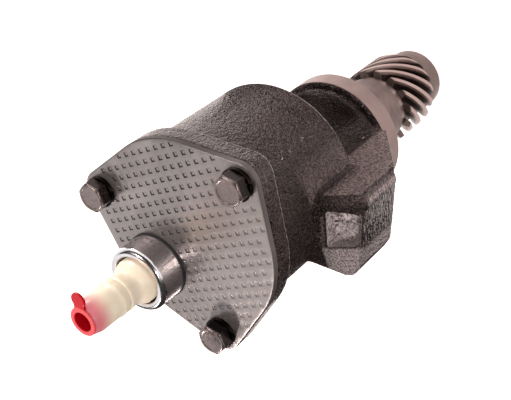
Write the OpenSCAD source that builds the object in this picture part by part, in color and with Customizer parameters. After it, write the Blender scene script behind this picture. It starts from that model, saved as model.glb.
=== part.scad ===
// Rotary vane vacuum pump, driven by a helical gear on its own shaft.
// The shaft is the Z axis. The pump stands on the rear face of its mounting
// disc at Z = 0: the gear hangs below it and the pumping chamber is above.

/* [Chamber] */
// Radius of the pumping chamber
chamber_r = 29; // [27:0.5:32]
// Depth of the chamber under the cover
chamber_depth = 46.5; // [38:0.5:54]
// Distance from the shaft to the centre of the chamber
eccentricity = 5.8; // [5:0.1:6.4]

/* [Body] */
// Wall round the chamber
body_wall = 4.2; // [4:0.1:5]
// Wall behind the chamber
rear_wall = 6.5; // [5:0.5:9]
// Thickness of the cover flange on the casting
flange_t = 7.5; // [6:0.5:10]
// Width of the round part of the cover flange outside the chamber
flange_margin = 7.1; // [6.6:0.1:8]
// Radius of the three bolt lobes
lobe_r = 7.4; // [7:0.1:8]
// Distance of the cover bolts from the chamber's wall
bolt_margin = 8; // [7.5:0.1:9]
// Radius of the rounded rear edge of the body
body_edge_r = 1.2; // [0.6:0.1:2]
// Fillet where the cover flange meets the body
flange_fillet_r = 1.6; // [0.8:0.1:2.4]

/* [Neck, disc and hub] */
// Radius of the neck between body and mounting disc
neck_r = 22; // [21.6:0.1:23]
// Length of the neck
neck_len = 32.5; // [26:0.5:40]
// Radius of the fillets at both ends of the neck
neck_fillet_r = 3.2; // [2:0.1:3.4]
// Radius of the machined mounting disc
disc_r = 25.7; // [25.5:0.1:28]
// Thickness of the mounting disc
disc_t = 9; // [8:0.5:12]
// Radius of the bearing hub behind the disc
hub_r = 14.2; // [13.6:0.1:14.6]
// Length of the bearing hub
hub_len = 24.3; // [18:0.1:28]
// Chamfer on the rims of disc and hub
rim_chamfer = 0.6; // [0.3:0.1:1]

/* [Cover] */
// Thickness of the cover plate
cover_t = 2; // [1.5:0.1:3]
// Width across the flats of the cover bolts
bolt_af = 10; // [9:0.5:11]
// Height of the bolt heads
bolt_head_h = 4.6; // [3.5:0.1:5.5]
// Thread radius of the cover bolts
bolt_r = 3; // [2.5:0.1:3.2]
// Thickness of the spring washers
spring_washer_t = 1.6; // [1:0.1:2]

/* [Side lug] */
// Reach of the lug from the shaft
lug_reach = 52.5; // [47:0.1:56]
// Length of the lug along the shaft
lug_len = 21.5; // [16:0.5:26]
// Height of the lug's flat top above the shaft
lug_top_y = 3.8; // [2:0.1:6]
// Distance from the cover's seat down to the front of the lug
lug_setback = 28; // [22:0.5:32]
// Radius of the lug's long rounded edges
lug_round_r = 3; // [2:0.5:5]
// Depth of the pocket in the lug's front
pocket_depth = 7; // [4:0.5:10]

/* [Vacuum port] */
// Outer radius of the port ring
ring_r = 12.2; // [11.6:0.1:13]
// Height of the port ring
ring_h = 11.5; // [10:0.1:13]
// Radius of the port ring's opening
ring_open_r = 9.3; // [8.9:0.1:10]
// Length of the nipple from the cover to its tip
nipple_len = 37; // [32:0.5:44]
// Radius of the nipple's hose stem
nipple_r = 6.35; // [5.8:0.05:7]
// Height of a barb above the stem
barb_h = 0.65; // [0.4:0.05:1]
// Radius of the bore in the nipple
nipple_bore_r = 4.2; // [3.4:0.1:4.4]
// Radius of the plug's flange
plug_flange_r = 5.4; // [5:0.1:7]
// Length of the plug inside the nipple
plug_stem_len = 12; // [8:0.5:14]

/* [Rotor and vanes] */
// Thickness of a vane
vane_t = 4; // [3:0.1:4.6]
// Depth of a vane in its slot
vane_depth = 16; // [14:0.5:16.5]
// Distance of each vane's plane from the shaft
vane_offset = 11.5; // [11:0.1:12]
// Angle of the first vane at rest
first_vane_angle = 35; // [0:1:119]

/* [Shaft and gear] */
// Radius of the shaft in its bushes
shaft_r = 8; // [7.6:0.1:8.2]
// Radius of the shaft inside the rotor
rotor_seat_r = 7; // [6.5:0.1:7]
// Outer radius of the bushes
bush_r = 10.5; // [10:0.1:10.8]
// Length of each bush
bush_len = 20; // [14:0.5:22]
// Number of gear teeth
gear_teeth = 14; // [10:1:18]
// Tip radius of the gear
gear_tip_r = 16.5; // [15.6:0.1:17.5]
// Root radius of the gear
gear_root_r = 12.6; // [11.8:0.1:12.8]
// Length of the toothed part
gear_face = 24.3; // [20:0.1:30]
// Lead of the right-hand helix, one full turn
gear_lead = 98; // [80:1:120]
// Radius of the smooth end collar
collar_r = 13; // [12.9:0.1:13.6]
// Length of the end collar
collar_len = 8; // [4:0.5:10]

/* [Hidden] */

round_fn = 96;
small_fn = 48;
// Overrun of every cut past the face it opens
over = 0.5;

// Heights that follow from the lengths above
body_rear_z = disc_t + neck_len;
floor_z = body_rear_z + rear_wall;
deck_z = floor_z + chamber_depth;
cover_z = deck_z + cover_t;
flange_rear_z = deck_z - flange_t;
body_r = chamber_r + body_wall;

// Clearances
rotor_gap = 0.05;
rotor_end_gap = 0.05;
bush_gap = 0.03;
vane_gap = 0.05;
vane_sink = 0.1;
thrust_gap = 0.05;

// Colours
casting_colour = "#3a2f2d";
steel_colour = "#a39490";
bolt_colour = "#4a403c";
zinc_colour = "#c9cbd2";
rubber_colour = "#1c1c1e";
ivory_colour = "#f1e3bd";
red_colour = "#d8101c";
gear_colour = "#8a7871";
bronze_colour = "#b08a4e";
vane_colour = "#3c3c40";

// Cover bolts round the chamber
flange_r = chamber_r + flange_margin;
bolt_circle_r = chamber_r + bolt_margin;
bolt_angles = [30, 150, 270];
bolt_clear = 0.3;
bolt_engagement = flange_t + cover_t + spring_washer_t + 0.9 * bolt_r / 3;
head_chamfer_share = 0.95;
head_chamfer_angle = 30;
washer_r = 0.98 * bolt_af / 2 * 1.18;
washer_split = 0.9;

// Seal of the cover
cover_seal_margin = 2.3;
cover_seal_r = chamber_r + cover_seal_margin;
cover_seal_section_r = 1;
cover_seal_side = 0.1;

function polar(r, a) = [r * cos(a), r * sin(a)];
// Angle from a lobe's own direction to where its straight side touches the round part
lobe_touch = acos((flange_r - lobe_r) / bolt_circle_r);

module at_chamber(z = 0) {
    translate([0, eccentricity, z]) children();
}

// Outline shared by the cover plate and the casting's flange
module lobed_outline() {
    circle(r = flange_r, $fn = round_fn);
    for (a = bolt_angles)
        rotate(a) {
            translate([bolt_circle_r, 0]) circle(r = lobe_r, $fn = small_fn);
            polygon([
                [0, 0],
                polar(flange_r, -lobe_touch),
                [bolt_circle_r, 0] + polar(lobe_r, -lobe_touch),
                [bolt_circle_r, 0] + polar(lobe_r, lobe_touch),
                polar(flange_r, lobe_touch),
            ]);
        }
}

module at_bolts(z = 0) {
    at_chamber(z)
        for (a = bolt_angles)
            rotate(a) translate([bolt_circle_r, 0, 0]) children();
}

// Square corner filled with a concave fillet, in the first quadrant
module fillet_corner(r) {
    difference() {
        square(r);
        translate([r, r]) circle(r = r, $fn = small_fn);
    }
}

// Body round the chamber, with a rounded rear edge and a fillet under the flange
module body_barrel() {
    at_chamber(body_rear_z)
        rotate_extrude($fn = round_fn) {
            translate([0, body_edge_r]) square([body_r, flange_rear_z - body_rear_z]);
            square([body_r - body_edge_r, 2 * body_edge_r]);
            translate([body_r - body_edge_r, body_edge_r]) circle(r = body_edge_r, $fn = small_fn);
        }
    at_chamber(flange_rear_z)
        rotate_extrude($fn = round_fn)
            translate([body_r, 0]) mirror([0, 1]) fillet_corner(flange_fillet_r);
}

module neck_disc_hub() {
    rotate_extrude($fn = round_fn) {
        translate([0, disc_t - over]) square([neck_r, neck_len + 2 * over]);
        translate([neck_r, disc_t]) fillet_corner(neck_fillet_r);
        translate([neck_r, body_rear_z]) mirror([0, 1]) fillet_corner(neck_fillet_r);
        polygon([
            [0, 0], [disc_r, 0],
            [disc_r, disc_t - rim_chamfer], [disc_r - rim_chamfer, disc_t], [0, disc_t],
        ]);
        translate([0, -hub_len])
            polygon([
                [0, 0], [hub_r - rim_chamfer, 0], [hub_r, rim_chamfer],
                [hub_r, hub_len + over], [0, hub_len + over],
            ]);
    }
}

// Lug seen along the shaft, as shares of its reach, outer corners in order
lug_outline_shares = [
    [0.3, -0.1], [0.4, -0.385], [0.675, -0.49], [0.738, -0.489], [0.81, -0.427], [0.868, -0.299],
];
lug_front_z = deck_z - lug_setback;
lug_rear_z = lug_front_z - lug_len;
// Upright edge between the lug's front and its outer side
lug_corner_r = 3;
// Where the slanted back of the web meets the disc, and the web's lower side
web_foot_r = disc_r + 2.2;
web_drop = 14;
web_head_in = 0.4;
web_head_back = 1;
web_lean = 27;

module lug_section() {
    difference() {
        union() {
            polygon(concat(
                [for (p = lug_outline_shares) p * lug_reach],
                [
                    [lug_reach, lug_top_y - lug_round_r],
                    [lug_reach - lug_round_r, lug_top_y],
                    [0.3 * lug_reach, lug_top_y],
                ]
            ));
            translate([lug_reach - lug_round_r, lug_top_y - lug_round_r])
                circle(r = lug_round_r, $fn = small_fn);
        }
        at_chamber() circle(r = chamber_r + body_wall / 2, $fn = round_fn);
    }
}

// Rectangle from the axes out to w and h, its far corner rounded
module round_corner(w, h, r) {
    square([w - r, h]);
    square([w, h - r]);
    translate([w - r, h - r]) circle(r = r, $fn = small_fn);
}

// Lug: its three outlines along the axes, with the front edges rounded
module lug_block() {
    translate([0, 0, lug_rear_z])
        intersection() {
            linear_extrude(lug_len) lug_section();
            translate([0, -lug_reach, 0])
                rotate([90, 0, 90])
                    linear_extrude(2 * lug_reach)
                        round_corner(lug_reach + lug_top_y, lug_len, lug_round_r);
            translate([0, lug_reach, 0])
                rotate([90, 0, 0])
                    linear_extrude(2 * lug_reach) round_corner(lug_reach, lug_len, lug_corner_r);
        }
}

// Web from the lug back to the disc, its rear edge slanting inwards and leaning under
web_slant = atan((lug_reach - web_head_in - web_foot_r) / (lug_rear_z - web_head_back - disc_t));
module lug_web() {
    difference() {
        intersection() {
            translate([0, 0, disc_t])
                linear_extrude(lug_front_z - disc_t)
                    polygon(concat(
                        [for (p = lug_outline_shares) p * lug_reach],
                        [
                            [lug_reach, lug_top_y - lug_round_r], [lug_reach, lug_top_y],
                            [0.3 * lug_reach, lug_top_y],
                        ]
                    ));
            translate([0, lug_top_y, 0])
                rotate([90, 0, 0])
                    linear_extrude(web_drop)
                        polygon([
                            [neck_r / 2, disc_t], [web_foot_r, disc_t],
                            [lug_reach - web_head_in, lug_rear_z - web_head_back],
                            [lug_reach - lug_round_r, lug_rear_z],
                            [lug_reach - lug_round_r, lug_rear_z + lug_round_r],
                            [neck_r / 2, lug_rear_z + lug_round_r],
                        ]);
        }
        translate([web_foot_r, lug_top_y, disc_t])
            rotate([0, web_slant, 0])
                rotate(-web_lean)
                    translate([0, -lug_reach, -lug_reach])
                        cube([lug_reach, lug_reach, 2 * lug_reach]);
    }
}

// Fillet that carries the web's top up into the neck
shoulder_r = 9;
shoulder_x = sqrt(pow(neck_r + shoulder_r, 2) - pow(lug_top_y + shoulder_r, 2));
module web_shoulder() {
    translate([0, 0, disc_t])
        linear_extrude(neck_len)
            difference() {
                polygon([
                    [0, 0], [shoulder_x, lug_top_y - over],
                    [shoulder_x, lug_top_y], [shoulder_x, lug_top_y + shoulder_r],
                ]);
                translate([shoulder_x, lug_top_y + shoulder_r])
                    circle(r = shoulder_r, $fn = small_fn);
            }
}

// Fillet along the body where the lug's top meets it
lug_fillet_r = 2.4;
lug_fillet_y = lug_top_y + lug_fillet_r;
lug_fillet_x = sqrt(pow(body_r + lug_fillet_r, 2) - pow(lug_fillet_y - eccentricity, 2));
lug_fillet_z = body_rear_z + body_edge_r;
module lug_fillet() {
    wall_x = chamber_r + body_wall / 2;
    wall_y = eccentricity + (lug_fillet_y - eccentricity) * wall_x / lug_fillet_x;
    translate([0, 0, lug_fillet_z])
        linear_extrude(lug_front_z - lug_round_r - lug_fillet_z)
            difference() {
                polygon([
                    [wall_x, lug_top_y - over], [lug_fillet_x, lug_top_y - over],
                    [lug_fillet_x, lug_fillet_y], [wall_x, wall_y],
                ]);
                translate([lug_fillet_x, lug_fillet_y]) circle(r = lug_fillet_r, $fn = small_fn);
            }
}

// Pocket in the lug's front, its corners as shares of the lug's reach
pocket_shares = [[0.68, -0.023], [0.933, -0.056], [0.862, -0.264], [0.814, -0.278], [0.598, -0.284]];
module lug_pocket() {
    translate([0, 0, lug_front_z - pocket_depth])
        linear_extrude(pocket_depth + over)
            polygon([for (p = pocket_shares) p * lug_reach]);
}

// Outlet: a hole beside the shaft from the chamber's floor to the reed's pocket
outlet_angle = -40;
outlet_pitch_r = 18;
outlet_r = 2.4;
outlet_groove_depth = 2;
outlet_groove_r = 2.6;
outlet_groove_len = 4.8;
reed_pocket_depth = 4.2;
reed_half_w = 3.2;
reed_side_gap = 0.3;
reed_span = 11;
reed_lean = 12;
// The reed's waist is this much narrower at each side than its round ends
reed_waist_step = 0.15;

module at_outlet(z = 0) {
    rotate(outlet_angle) translate([outlet_pitch_r, 0, z]) children();
}

module at_reed_screw(z = 0) {
    rotate(reed_lean) translate([0, reed_span, z]) children();
}

module reed_outline(half_w) {
    waist_w = 2 * (half_w - reed_waist_step);
    rotate(reed_lean) translate([-waist_w / 2, 0]) square([waist_w, reed_span]);
    circle(r = half_w, $fn = small_fn);
    at_reed_screw() circle(r = half_w, $fn = small_fn);
}

oil_hole_r = 1.5;
bore_chamfer = 0.5;

module housing_cuts() {
    at_chamber(floor_z) cylinder(r = chamber_r, h = chamber_depth + over, $fn = round_fn);
    translate([0, 0, -hub_len - over])
        cylinder(r = bush_r, h = hub_len + floor_z + 2 * over, $fn = small_fn);
    at_bolts(flange_rear_z - over)
        cylinder(r = bolt_r, h = flange_t + 2 * over, $fn = small_fn);
    at_chamber(deck_z - 2 * cover_seal_section_r)
        rotate_extrude($fn = round_fn)
            translate([cover_seal_r - cover_seal_section_r - cover_seal_side, 0])
                square([2 * (cover_seal_section_r + cover_seal_side), 2 * cover_seal_section_r + over]);
    at_outlet(-over) cylinder(r = outlet_r, h = floor_z + 2 * over, $fn = small_fn);
    at_outlet(floor_z - outlet_groove_depth)
        linear_extrude(outlet_groove_depth + over) {
            translate([0, -outlet_groove_r]) square([outlet_groove_len, 2 * outlet_groove_r]);
            circle(r = outlet_groove_r, $fn = small_fn);
        }
    at_outlet(-over)
        linear_extrude(reed_pocket_depth + over) reed_outline(reed_half_w + reed_side_gap);
    at_outlet(0)
        at_reed_screw()
            cylinder(r = reed_screw_r, h = reed_pocket_depth + reed_screw_depth, $fn = small_fn);
    translate([0, 0, -hub_len / 2])
        rotate([0, -90, 0]) cylinder(r = oil_hole_r, h = hub_r + over, $fn = small_fn);
}

// Cast housing with the machined disc and bearing hub
module pump_housing() {
    color(casting_colour)
        difference() {
            union() {
                at_chamber(flange_rear_z) linear_extrude(flange_t) lobed_outline();
                body_barrel();
                neck_disc_hub();
                difference() {
                    lug_block();
                    lug_pocket();
                }
                lug_web();
                web_shoulder();
                lug_fillet();
            }
            housing_cuts();
        }
}

// Vacuum port, beside the shaft on the side where the cells grow
port_x = -18.9;
port_y = -5;
port_hole_r = 6.5;

module at_port(z = 0) {
    translate([port_x, port_y, cover_z + z]) children();
}

module cover_plate() {
    color(steel_colour)
        difference() {
            at_chamber(deck_z) linear_extrude(cover_t) lobed_outline();
            at_bolts(deck_z - over)
                cylinder(r = bolt_r + bolt_clear, h = cover_t + 2 * over, $fn = small_fn);
            at_port(-cover_t - over) cylinder(r = port_hole_r, h = cover_t + 2 * over, $fn = small_fn);
        }
}

module cover_seal_ring() {
    color(rubber_colour)
        at_chamber(deck_z - cover_seal_section_r)
            rotate_extrude($fn = round_fn)
                translate([cover_seal_r, 0]) circle(r = cover_seal_section_r, $fn = small_fn);
}

// Hexagon with its outer corners turned down to a round face
module hex_head(af, h) {
    corner_r = af / 2 / cos(30);
    face_r = head_chamfer_share * af / 2;
    chamfer_h = (corner_r - face_r) * tan(head_chamfer_angle);
    intersection() {
        cylinder(r = corner_r, h = h, $fn = 6);
        rotate_extrude($fn = round_fn)
            polygon([[0, 0], [corner_r + over, 0], [corner_r + over, h - chamfer_h], [corner_r, h - chamfer_h], [face_r, h], [0, h]]);
    }
}

module cover_bolts() {
    color(bolt_colour)
        at_bolts(cover_z + spring_washer_t) {
            hex_head(bolt_af, bolt_head_h);
            translate([0, 0, -bolt_engagement])
                cylinder(r = bolt_r, h = bolt_engagement, $fn = small_fn);
        }
}

module bolt_spring_washers() {
    color(bolt_colour)
        at_bolts(cover_z)
            difference() {
                cylinder(r = washer_r, h = spring_washer_t, $fn = small_fn);
                translate([0, 0, -over])
                    cylinder(r = bolt_r + bolt_clear / 2, h = spring_washer_t + 2 * over, $fn = small_fn);
                translate([bolt_r - over, -washer_split / 2, -over])
                    cube([washer_r, washer_split, spring_washer_t + 2 * over]);
            }
}

// Port ring: a drawn steel cup with a rolled lip
ring_wall = 1.6;
ring_lip_r = 1.9;
ring_lip_t = 2.9;
ring_seal_h = 1;
ring_seal_w = 0.8;
ring_seal_side = 0.35;

module port_ring() {
    color(zinc_colour)
        at_port()
            rotate_extrude($fn = round_fn)
                difference() {
                    union() {
                        translate([ring_r - ring_wall, 0]) square([ring_wall, ring_h - ring_lip_r]);
                        translate([ring_open_r, ring_h - ring_lip_t])
                            square([ring_r - ring_lip_r - ring_open_r, ring_lip_t]);
                        translate([ring_open_r, ring_h - ring_lip_t])
                            square([ring_r - ring_open_r, ring_lip_t - ring_lip_r]);
                        intersection() {
                            translate([ring_r - ring_lip_r, ring_h - ring_lip_r])
                                circle(r = ring_lip_r, $fn = small_fn);
                            translate([ring_open_r, ring_h - ring_lip_t]) square([ring_r, ring_lip_t]);
                        }
                    }
                    translate([ring_r - ring_seal_w, -over]) square([ring_wall, ring_seal_h + over]);
                }
}

module port_ring_seal() {
    color(rubber_colour)
        at_port()
            rotate_extrude($fn = round_fn)
                translate([ring_r - ring_seal_w, 0]) square([ring_seal_w + ring_seal_side, ring_seal_h]);
}

// Nipple: a foot held under the ring's lip, a tapered shoulder and a barbed stem
foot_side_gap = 0.15;
foot_r = ring_r - ring_wall - foot_side_gap;
foot_h = 5.8;
nipple_seal_h = ring_h - ring_lip_t - foot_h;
shoulder_base_r = 8.6;
shoulder_top_r = 8.4;
shoulder_base_z = 12;
shoulder_z = 15.3;
stem_z = 17;
barb_len = 3.6;
barb_count = 2;
tip_r = nipple_r - 0.85;
tip_len = 3.5;
valve_chamber_r = 7;
valve_seat_z = 6.6;
valve_seat_r = 3.3;
valve_seat_land = 1;

function barb_points(i) = let (z = stem_z + i * barb_len) [
    [nipple_r, z + barb_len * 0.05], [nipple_r + barb_h, z + barb_len * 0.95],
];

module vacuum_nipple() {
    color(ivory_colour)
        at_port()
            rotate_extrude($fn = round_fn)
                difference() {
                    polygon(concat(
                        [[0, 0], [foot_r, 0], [foot_r, foot_h], [shoulder_base_r, foot_h]],
                        [[shoulder_top_r, shoulder_base_z], [nipple_r + 1.5 * barb_h, shoulder_z], [nipple_r, stem_z]],
                        [for (i = [0 : barb_count - 1]) each barb_points(i)],
                        [[nipple_r, stem_z + barb_count * barb_len], [nipple_r, nipple_len - tip_len]],
                        [[tip_r, nipple_len], [0, nipple_len]]
                    ));
                    translate([0, -over]) square([valve_chamber_r, valve_seat_z + over]);
                    square([valve_seat_r, valve_seat_z + valve_seat_land + over]);
                    translate([0, valve_seat_z + valve_seat_land]) square([nipple_bore_r, nipple_len]);
                }
}

module nipple_seal() {
    color(rubber_colour)
        at_port(foot_h)
            rotate_extrude($fn = round_fn)
                translate([shoulder_base_r + foot_side_gap, 0])
                    square([foot_r - shoulder_base_r - foot_side_gap, nipple_seal_h]);
}

// Check valve in the nipple's foot
valve_disc_r = 5.4;
valve_disc_t = 1.2;
valve_guide_r = 1.2;
valve_guide_len = 1.6;
retainer_t = 0.8;
retainer_z = 0.3;
retainer_hole_r = 1.3;
retainer_hole_ring_r = 4.9;
retainer_hole_count = 6;
spring_coil_r = 2.6;
spring_wire_r = 0.25;
spring_turns = 3;
spring_steps = 14;
spring_sides = 6;

module valve_disc() {
    color(rubber_colour)
        at_port(valve_seat_z - valve_disc_t) {
            cylinder(r = valve_disc_r, h = valve_disc_t, $fn = small_fn);
            translate([0, 0, -valve_guide_len])
                cylinder(r = valve_guide_r, h = valve_guide_len, $fn = small_fn);
        }
}

module valve_retainer() {
    color(steel_colour)
        at_port(retainer_z)
            difference() {
                cylinder(r = valve_chamber_r, h = retainer_t, $fn = small_fn);
                for (i = [0 : retainer_hole_count - 1])
                    rotate(i * 360 / retainer_hole_count)
                        translate([retainer_hole_ring_r, 0, -over])
                            cylinder(r = retainer_hole_r, h = retainer_t + 2 * over, $fn = small_fn);
                translate([0, 0, -over])
                    cylinder(r = valve_guide_r + bush_gap * 10, h = retainer_t + 2 * over, $fn = small_fn);
            }
}

// Round wire along a helix, as one closed skin
module helix_wire(coil_r, wire_r, rise, turns, steps, sides) {
    rings = turns * steps;
    pts = [
        for (i = [0 : rings], j = [0 : sides - 1])
            let (a = 360 * i / steps, b = 360 * j / sides, r = coil_r + wire_r * cos(b))
            [r * cos(a), r * sin(a), rise * i / rings + wire_r * sin(b)]
    ];
    skin = [
        for (i = [0 : rings - 1], j = [0 : sides - 1])
            let (k = (j + 1) % sides, a = i * sides)
            each [[a + j, a + k, a + sides + k], [a + j, a + sides + k, a + sides + j]]
    ];
    first_cap = [for (j = [0 : sides - 1]) sides - 1 - j];
    last_cap = [for (j = [0 : sides - 1]) rings * sides + j];
    polyhedron(points = pts, faces = concat(skin, [first_cap, last_cap]));
}

module valve_spring() {
    spring_foot = retainer_z + retainer_t + spring_wire_r;
    spring_head = valve_seat_z - valve_disc_t - spring_wire_r;
    color(steel_colour)
        at_port(spring_foot)
            helix_wire(spring_coil_r, spring_wire_r, spring_head - spring_foot,
                spring_turns, spring_steps, spring_sides);
}

// Transport plug: a hollow stem in the nipple, a flange and a round pull tab
plug_flange_t = 0.9;
plug_gap = 0.05;
plug_wall = 0.7;
plug_floor = 1.5;
tab_r = 2.9;
tab_reach = 8.4;
tab_neck = 4.6;
tab_angle = 75;

module dust_plug() {
    color(red_colour)
        at_port(nipple_len) {
            difference() {
                union() {
                    cylinder(r = plug_flange_r, h = plug_flange_t, $fn = small_fn);
                    translate([0, 0, -plug_stem_len])
                        cylinder(r = nipple_bore_r - plug_gap, h = plug_stem_len + over, $fn = small_fn);
                    rotate(tab_angle)
                        linear_extrude(plug_flange_t) {
                            translate([tab_reach, 0]) circle(r = tab_r, $fn = small_fn);
                            translate([0, -tab_neck / 2]) square([tab_reach, tab_neck]);
                        }
                }
                translate([0, 0, plug_floor - plug_stem_len])
                    cylinder(r = nipple_bore_r - plug_wall, h = plug_stem_len + plug_flange_t, $fn = small_fn);
            }
        }
}

// Gear: a table of tooth half-widths, as shares of the pitch, against height above the root
tooth_height_shares = [0, 0.28, 0.6, 0.85, 1];
tooth_half_shares = [0.34, 0.28, 0.23, 0.19, 0.14];
// Angle of the tooth pattern at the collar
gear_phase = 6.8;
gear_slices = 14;
runout_share = 0.26;
runout_step = 0.15;
entry_share = 0.05;
thrust_washer_t = 2.8;
thrust_washer_r = 13.4;
gear_top_z = -hub_len - thrust_washer_t - thrust_gap;
collar_edge_r = 0.8;
drive_slot_w = 5;
drive_slot_len = 17;
drive_slot_depth = 6;

// Tip height left at a share s of the face width, 0 at the collar and 1 at the hub
function tip_left(s) =
    s < runout_share ? sqrt(s / runout_share) :
    s > 1 - entry_share ? 0.75 + 0.25 * (1 - s) / entry_share : 1;

// Radius of a point of the tooth outline: the grooves rise into the collar
function gear_radius(height, s) =
    let (
        foot = collar_r - runout_step,
        root = s < runout_share ? foot + (gear_root_r - foot) * sqrt(s / runout_share) : gear_root_r,
        tip = foot + (gear_tip_r - foot) * tip_left(s)
    )
    root + (max(tip, root) - root) * height;

function tooth_row(s) = [
    for (i = [0 : gear_teeth - 1], side = [-1, 1], k = [0 : len(tooth_half_shares) - 1])
        let (
            n = side < 0 ? k : len(tooth_half_shares) - 1 - k,
            pitch = 360 / gear_teeth,
            a = gear_phase + pitch * (i + side * tooth_half_shares[n]) + 360 * gear_face * s / gear_lead
        )
        concat(polar(gear_radius(tooth_height_shares[n], s), a), [gear_face * s])
];

// The end faces run in from the tooth outline to this share of the shaft's radius
gear_core_share = 0.7;
function core_row(s) = [
    for (p = tooth_row(s))
        concat(polar(gear_core_share * shaft_r, atan2(p[1], p[0])), [p[2]])
];

module helical_teeth() {
    n = 2 * len(tooth_half_shares) * gear_teeth;
    last = gear_slices * n;
    core = last + n;
    rows = [for (i = [0 : gear_slices]) each tooth_row(i / gear_slices)];
    skin = [
        for (i = [0 : gear_slices - 1], j = [0 : n - 1])
            let (k = (j + 1) % n, a = i * n)
            each [[a + j, a + n + k, a + k], [a + j, a + n + j, a + n + k]]
    ];
    ends = [
        for (j = [0 : n - 1])
            let (k = (j + 1) % n, a = core, b = core + n)
            each [
                [j, k, a + k], [j, a + k, a + j],
                [last + j, b + k, last + k], [last + j, b + j, b + k],
            ]
    ];
    foot = [for (j = [0 : n - 1]) core + j];
    head = [for (j = [0 : n - 1]) core + n + n - 1 - j];
    polyhedron(
        points = concat(rows, core_row(0), core_row(1)),
        faces = concat(skin, ends, [foot, head])
    );
}

seat_step = 0.4;
seat_end_gap = 1.2;
key_w = 4;
key_h = 3.2;
key_len = 14;
key_gap = 0.05;
// The key sits midway between two vane slots
key_angle = first_vane_angle + 11;
circlip_t = 1.2;
circlip_drop = 1.6;
circlip_groove_depth = 0.7;
circlip_r = 8.8;
circlip_opening = 5;
counterbore_r = 9.2;
counterbore_depth = 4;
rotor_r = chamber_r - eccentricity - rotor_gap;
rotor_z = floor_z + rotor_end_gap;
rotor_len = chamber_depth - 2 * rotor_end_gap;
rotor_top_z = rotor_z + rotor_len;
circlip_z = rotor_top_z - counterbore_depth;
key_z = rotor_z + (rotor_len - key_len) / 2;

// Smooth collar at the free end, with a blind slot for a driven shaft's tongue
module end_collar() {
    translate([0, 0, gear_top_z - gear_face - collar_len])
        difference() {
            rotate_extrude($fn = round_fn)
                polygon([
                    [0, 0], [collar_r - collar_edge_r, 0], [collar_r, collar_edge_r],
                    [collar_r, collar_len], [0, collar_len],
                ]);
            translate([-drive_slot_len / 2, -drive_slot_w / 2, -over])
                cube([drive_slot_len, drive_slot_w, drive_slot_depth + over]);
        }
}

// Journal in the bushes and the seat that carries the rotor
module shaft_body() {
    difference() {
        union() {
            translate([0, 0, gear_top_z - seat_step])
                cylinder(r = shaft_r, h = rotor_z - gear_top_z, $fn = small_fn);
            translate([0, 0, rotor_z - seat_step - over])
                cylinder(
                    r = rotor_seat_r, h = rotor_len + seat_step + over - seat_end_gap, $fn = small_fn
                );
        }
        rotate(key_angle)
            translate([rotor_seat_r - key_h / 2, -key_w / 2, key_z])
                cube([key_h, key_w, key_len]);
        translate([0, 0, circlip_z])
            rotate_extrude($fn = small_fn)
                translate([rotor_seat_r - circlip_groove_depth, 0])
                    square([rotor_seat_r, circlip_t]);
    }
}

module gear_shaft() {
    color(gear_colour) {
        translate([0, 0, gear_top_z - gear_face]) helical_teeth();
        end_collar();
        shaft_body();
    }
}

module thrust_washer() {
    color(bronze_colour)
        translate([0, 0, -hub_len - thrust_washer_t])
            difference() {
                cylinder(r = thrust_washer_r, h = thrust_washer_t, $fn = round_fn);
                translate([0, 0, -over])
                    cylinder(r = shaft_r + 4 * bush_gap, h = thrust_washer_t + 2 * over, $fn = small_fn);
            }
}

module bush(z) {
    color(bronze_colour)
        translate([0, 0, z])
            difference() {
                cylinder(r = bush_r, h = bush_len, $fn = small_fn);
                translate([0, 0, -over])
                    cylinder(r = shaft_r + bush_gap, h = bush_len + 2 * over, $fn = small_fn);
            }
}

module rear_bush() {
    bush(-hub_len);
}

module front_bush() {
    bush(floor_z - bush_len);
}

module rotor_key() {
    color(steel_colour)
        rotate(key_angle)
            translate([rotor_seat_r - key_h / 2, -key_w / 2 + key_gap, key_z])
                cube([key_h, key_w - 2 * key_gap, key_len]);
}

module rotor_circlip() {
    color(steel_colour)
        translate([0, 0, circlip_z])
            linear_extrude(circlip_t)
                difference() {
                    circle(r = circlip_r, $fn = small_fn);
                    circle(r = rotor_seat_r - circlip_groove_depth, $fn = small_fn);
                    translate([0, -circlip_opening / 2]) square([2 * circlip_r, circlip_opening]);
                }
}

// Tip centre of a vane that lies just inside the rotor's rim
vane_tip_r = vane_t / 2;
vane_tip_s = sqrt(pow(rotor_r - vane_sink - vane_tip_r, 2) - pow(vane_offset, 2));
vane_inner_s = vane_tip_s + vane_tip_r - vane_depth;
slot_floor_gap = 0.4;
vane_count = 3;

// Local frame of vane i: X is its sliding direction, its plane is vane_offset from the shaft
module at_vane(i) {
    rotate(first_vane_angle + i * 360 / vane_count) translate([0, vane_offset, 0]) children();
}

module vane_outline() {
    translate([vane_inner_s, -vane_t / 2]) square([vane_depth - vane_tip_r, vane_t]);
    translate([vane_tip_s, 0]) circle(r = vane_tip_r, $fn = small_fn);
}

module vane(i) {
    color(vane_colour)
        at_vane(i)
            translate([0, 0, rotor_z + vane_gap])
                linear_extrude(rotor_len - 2 * vane_gap) vane_outline();
}

module rotor() {
    color(steel_colour)
        translate([0, 0, rotor_z])
            difference() {
                cylinder(r = rotor_r, h = rotor_len, $fn = round_fn);
                translate([0, 0, -over])
                    cylinder(r = rotor_seat_r, h = rotor_len + 2 * over, $fn = small_fn);
                translate([0, 0, rotor_len - counterbore_depth])
                    cylinder(r = counterbore_r, h = counterbore_depth + over, $fn = small_fn);
                rotate(key_angle)
                    translate([0, -key_w / 2, -over])
                        cube([rotor_seat_r + key_h / 2, key_w, rotor_len + 2 * over]);
                for (i = [0 : vane_count - 1])
                    at_vane(i)
                        translate([vane_inner_s - slot_floor_gap, -vane_t / 2 - vane_gap, -over])
                            cube([rotor_r, vane_t + 2 * vane_gap, rotor_len + 2 * over]);
            }
}

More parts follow.
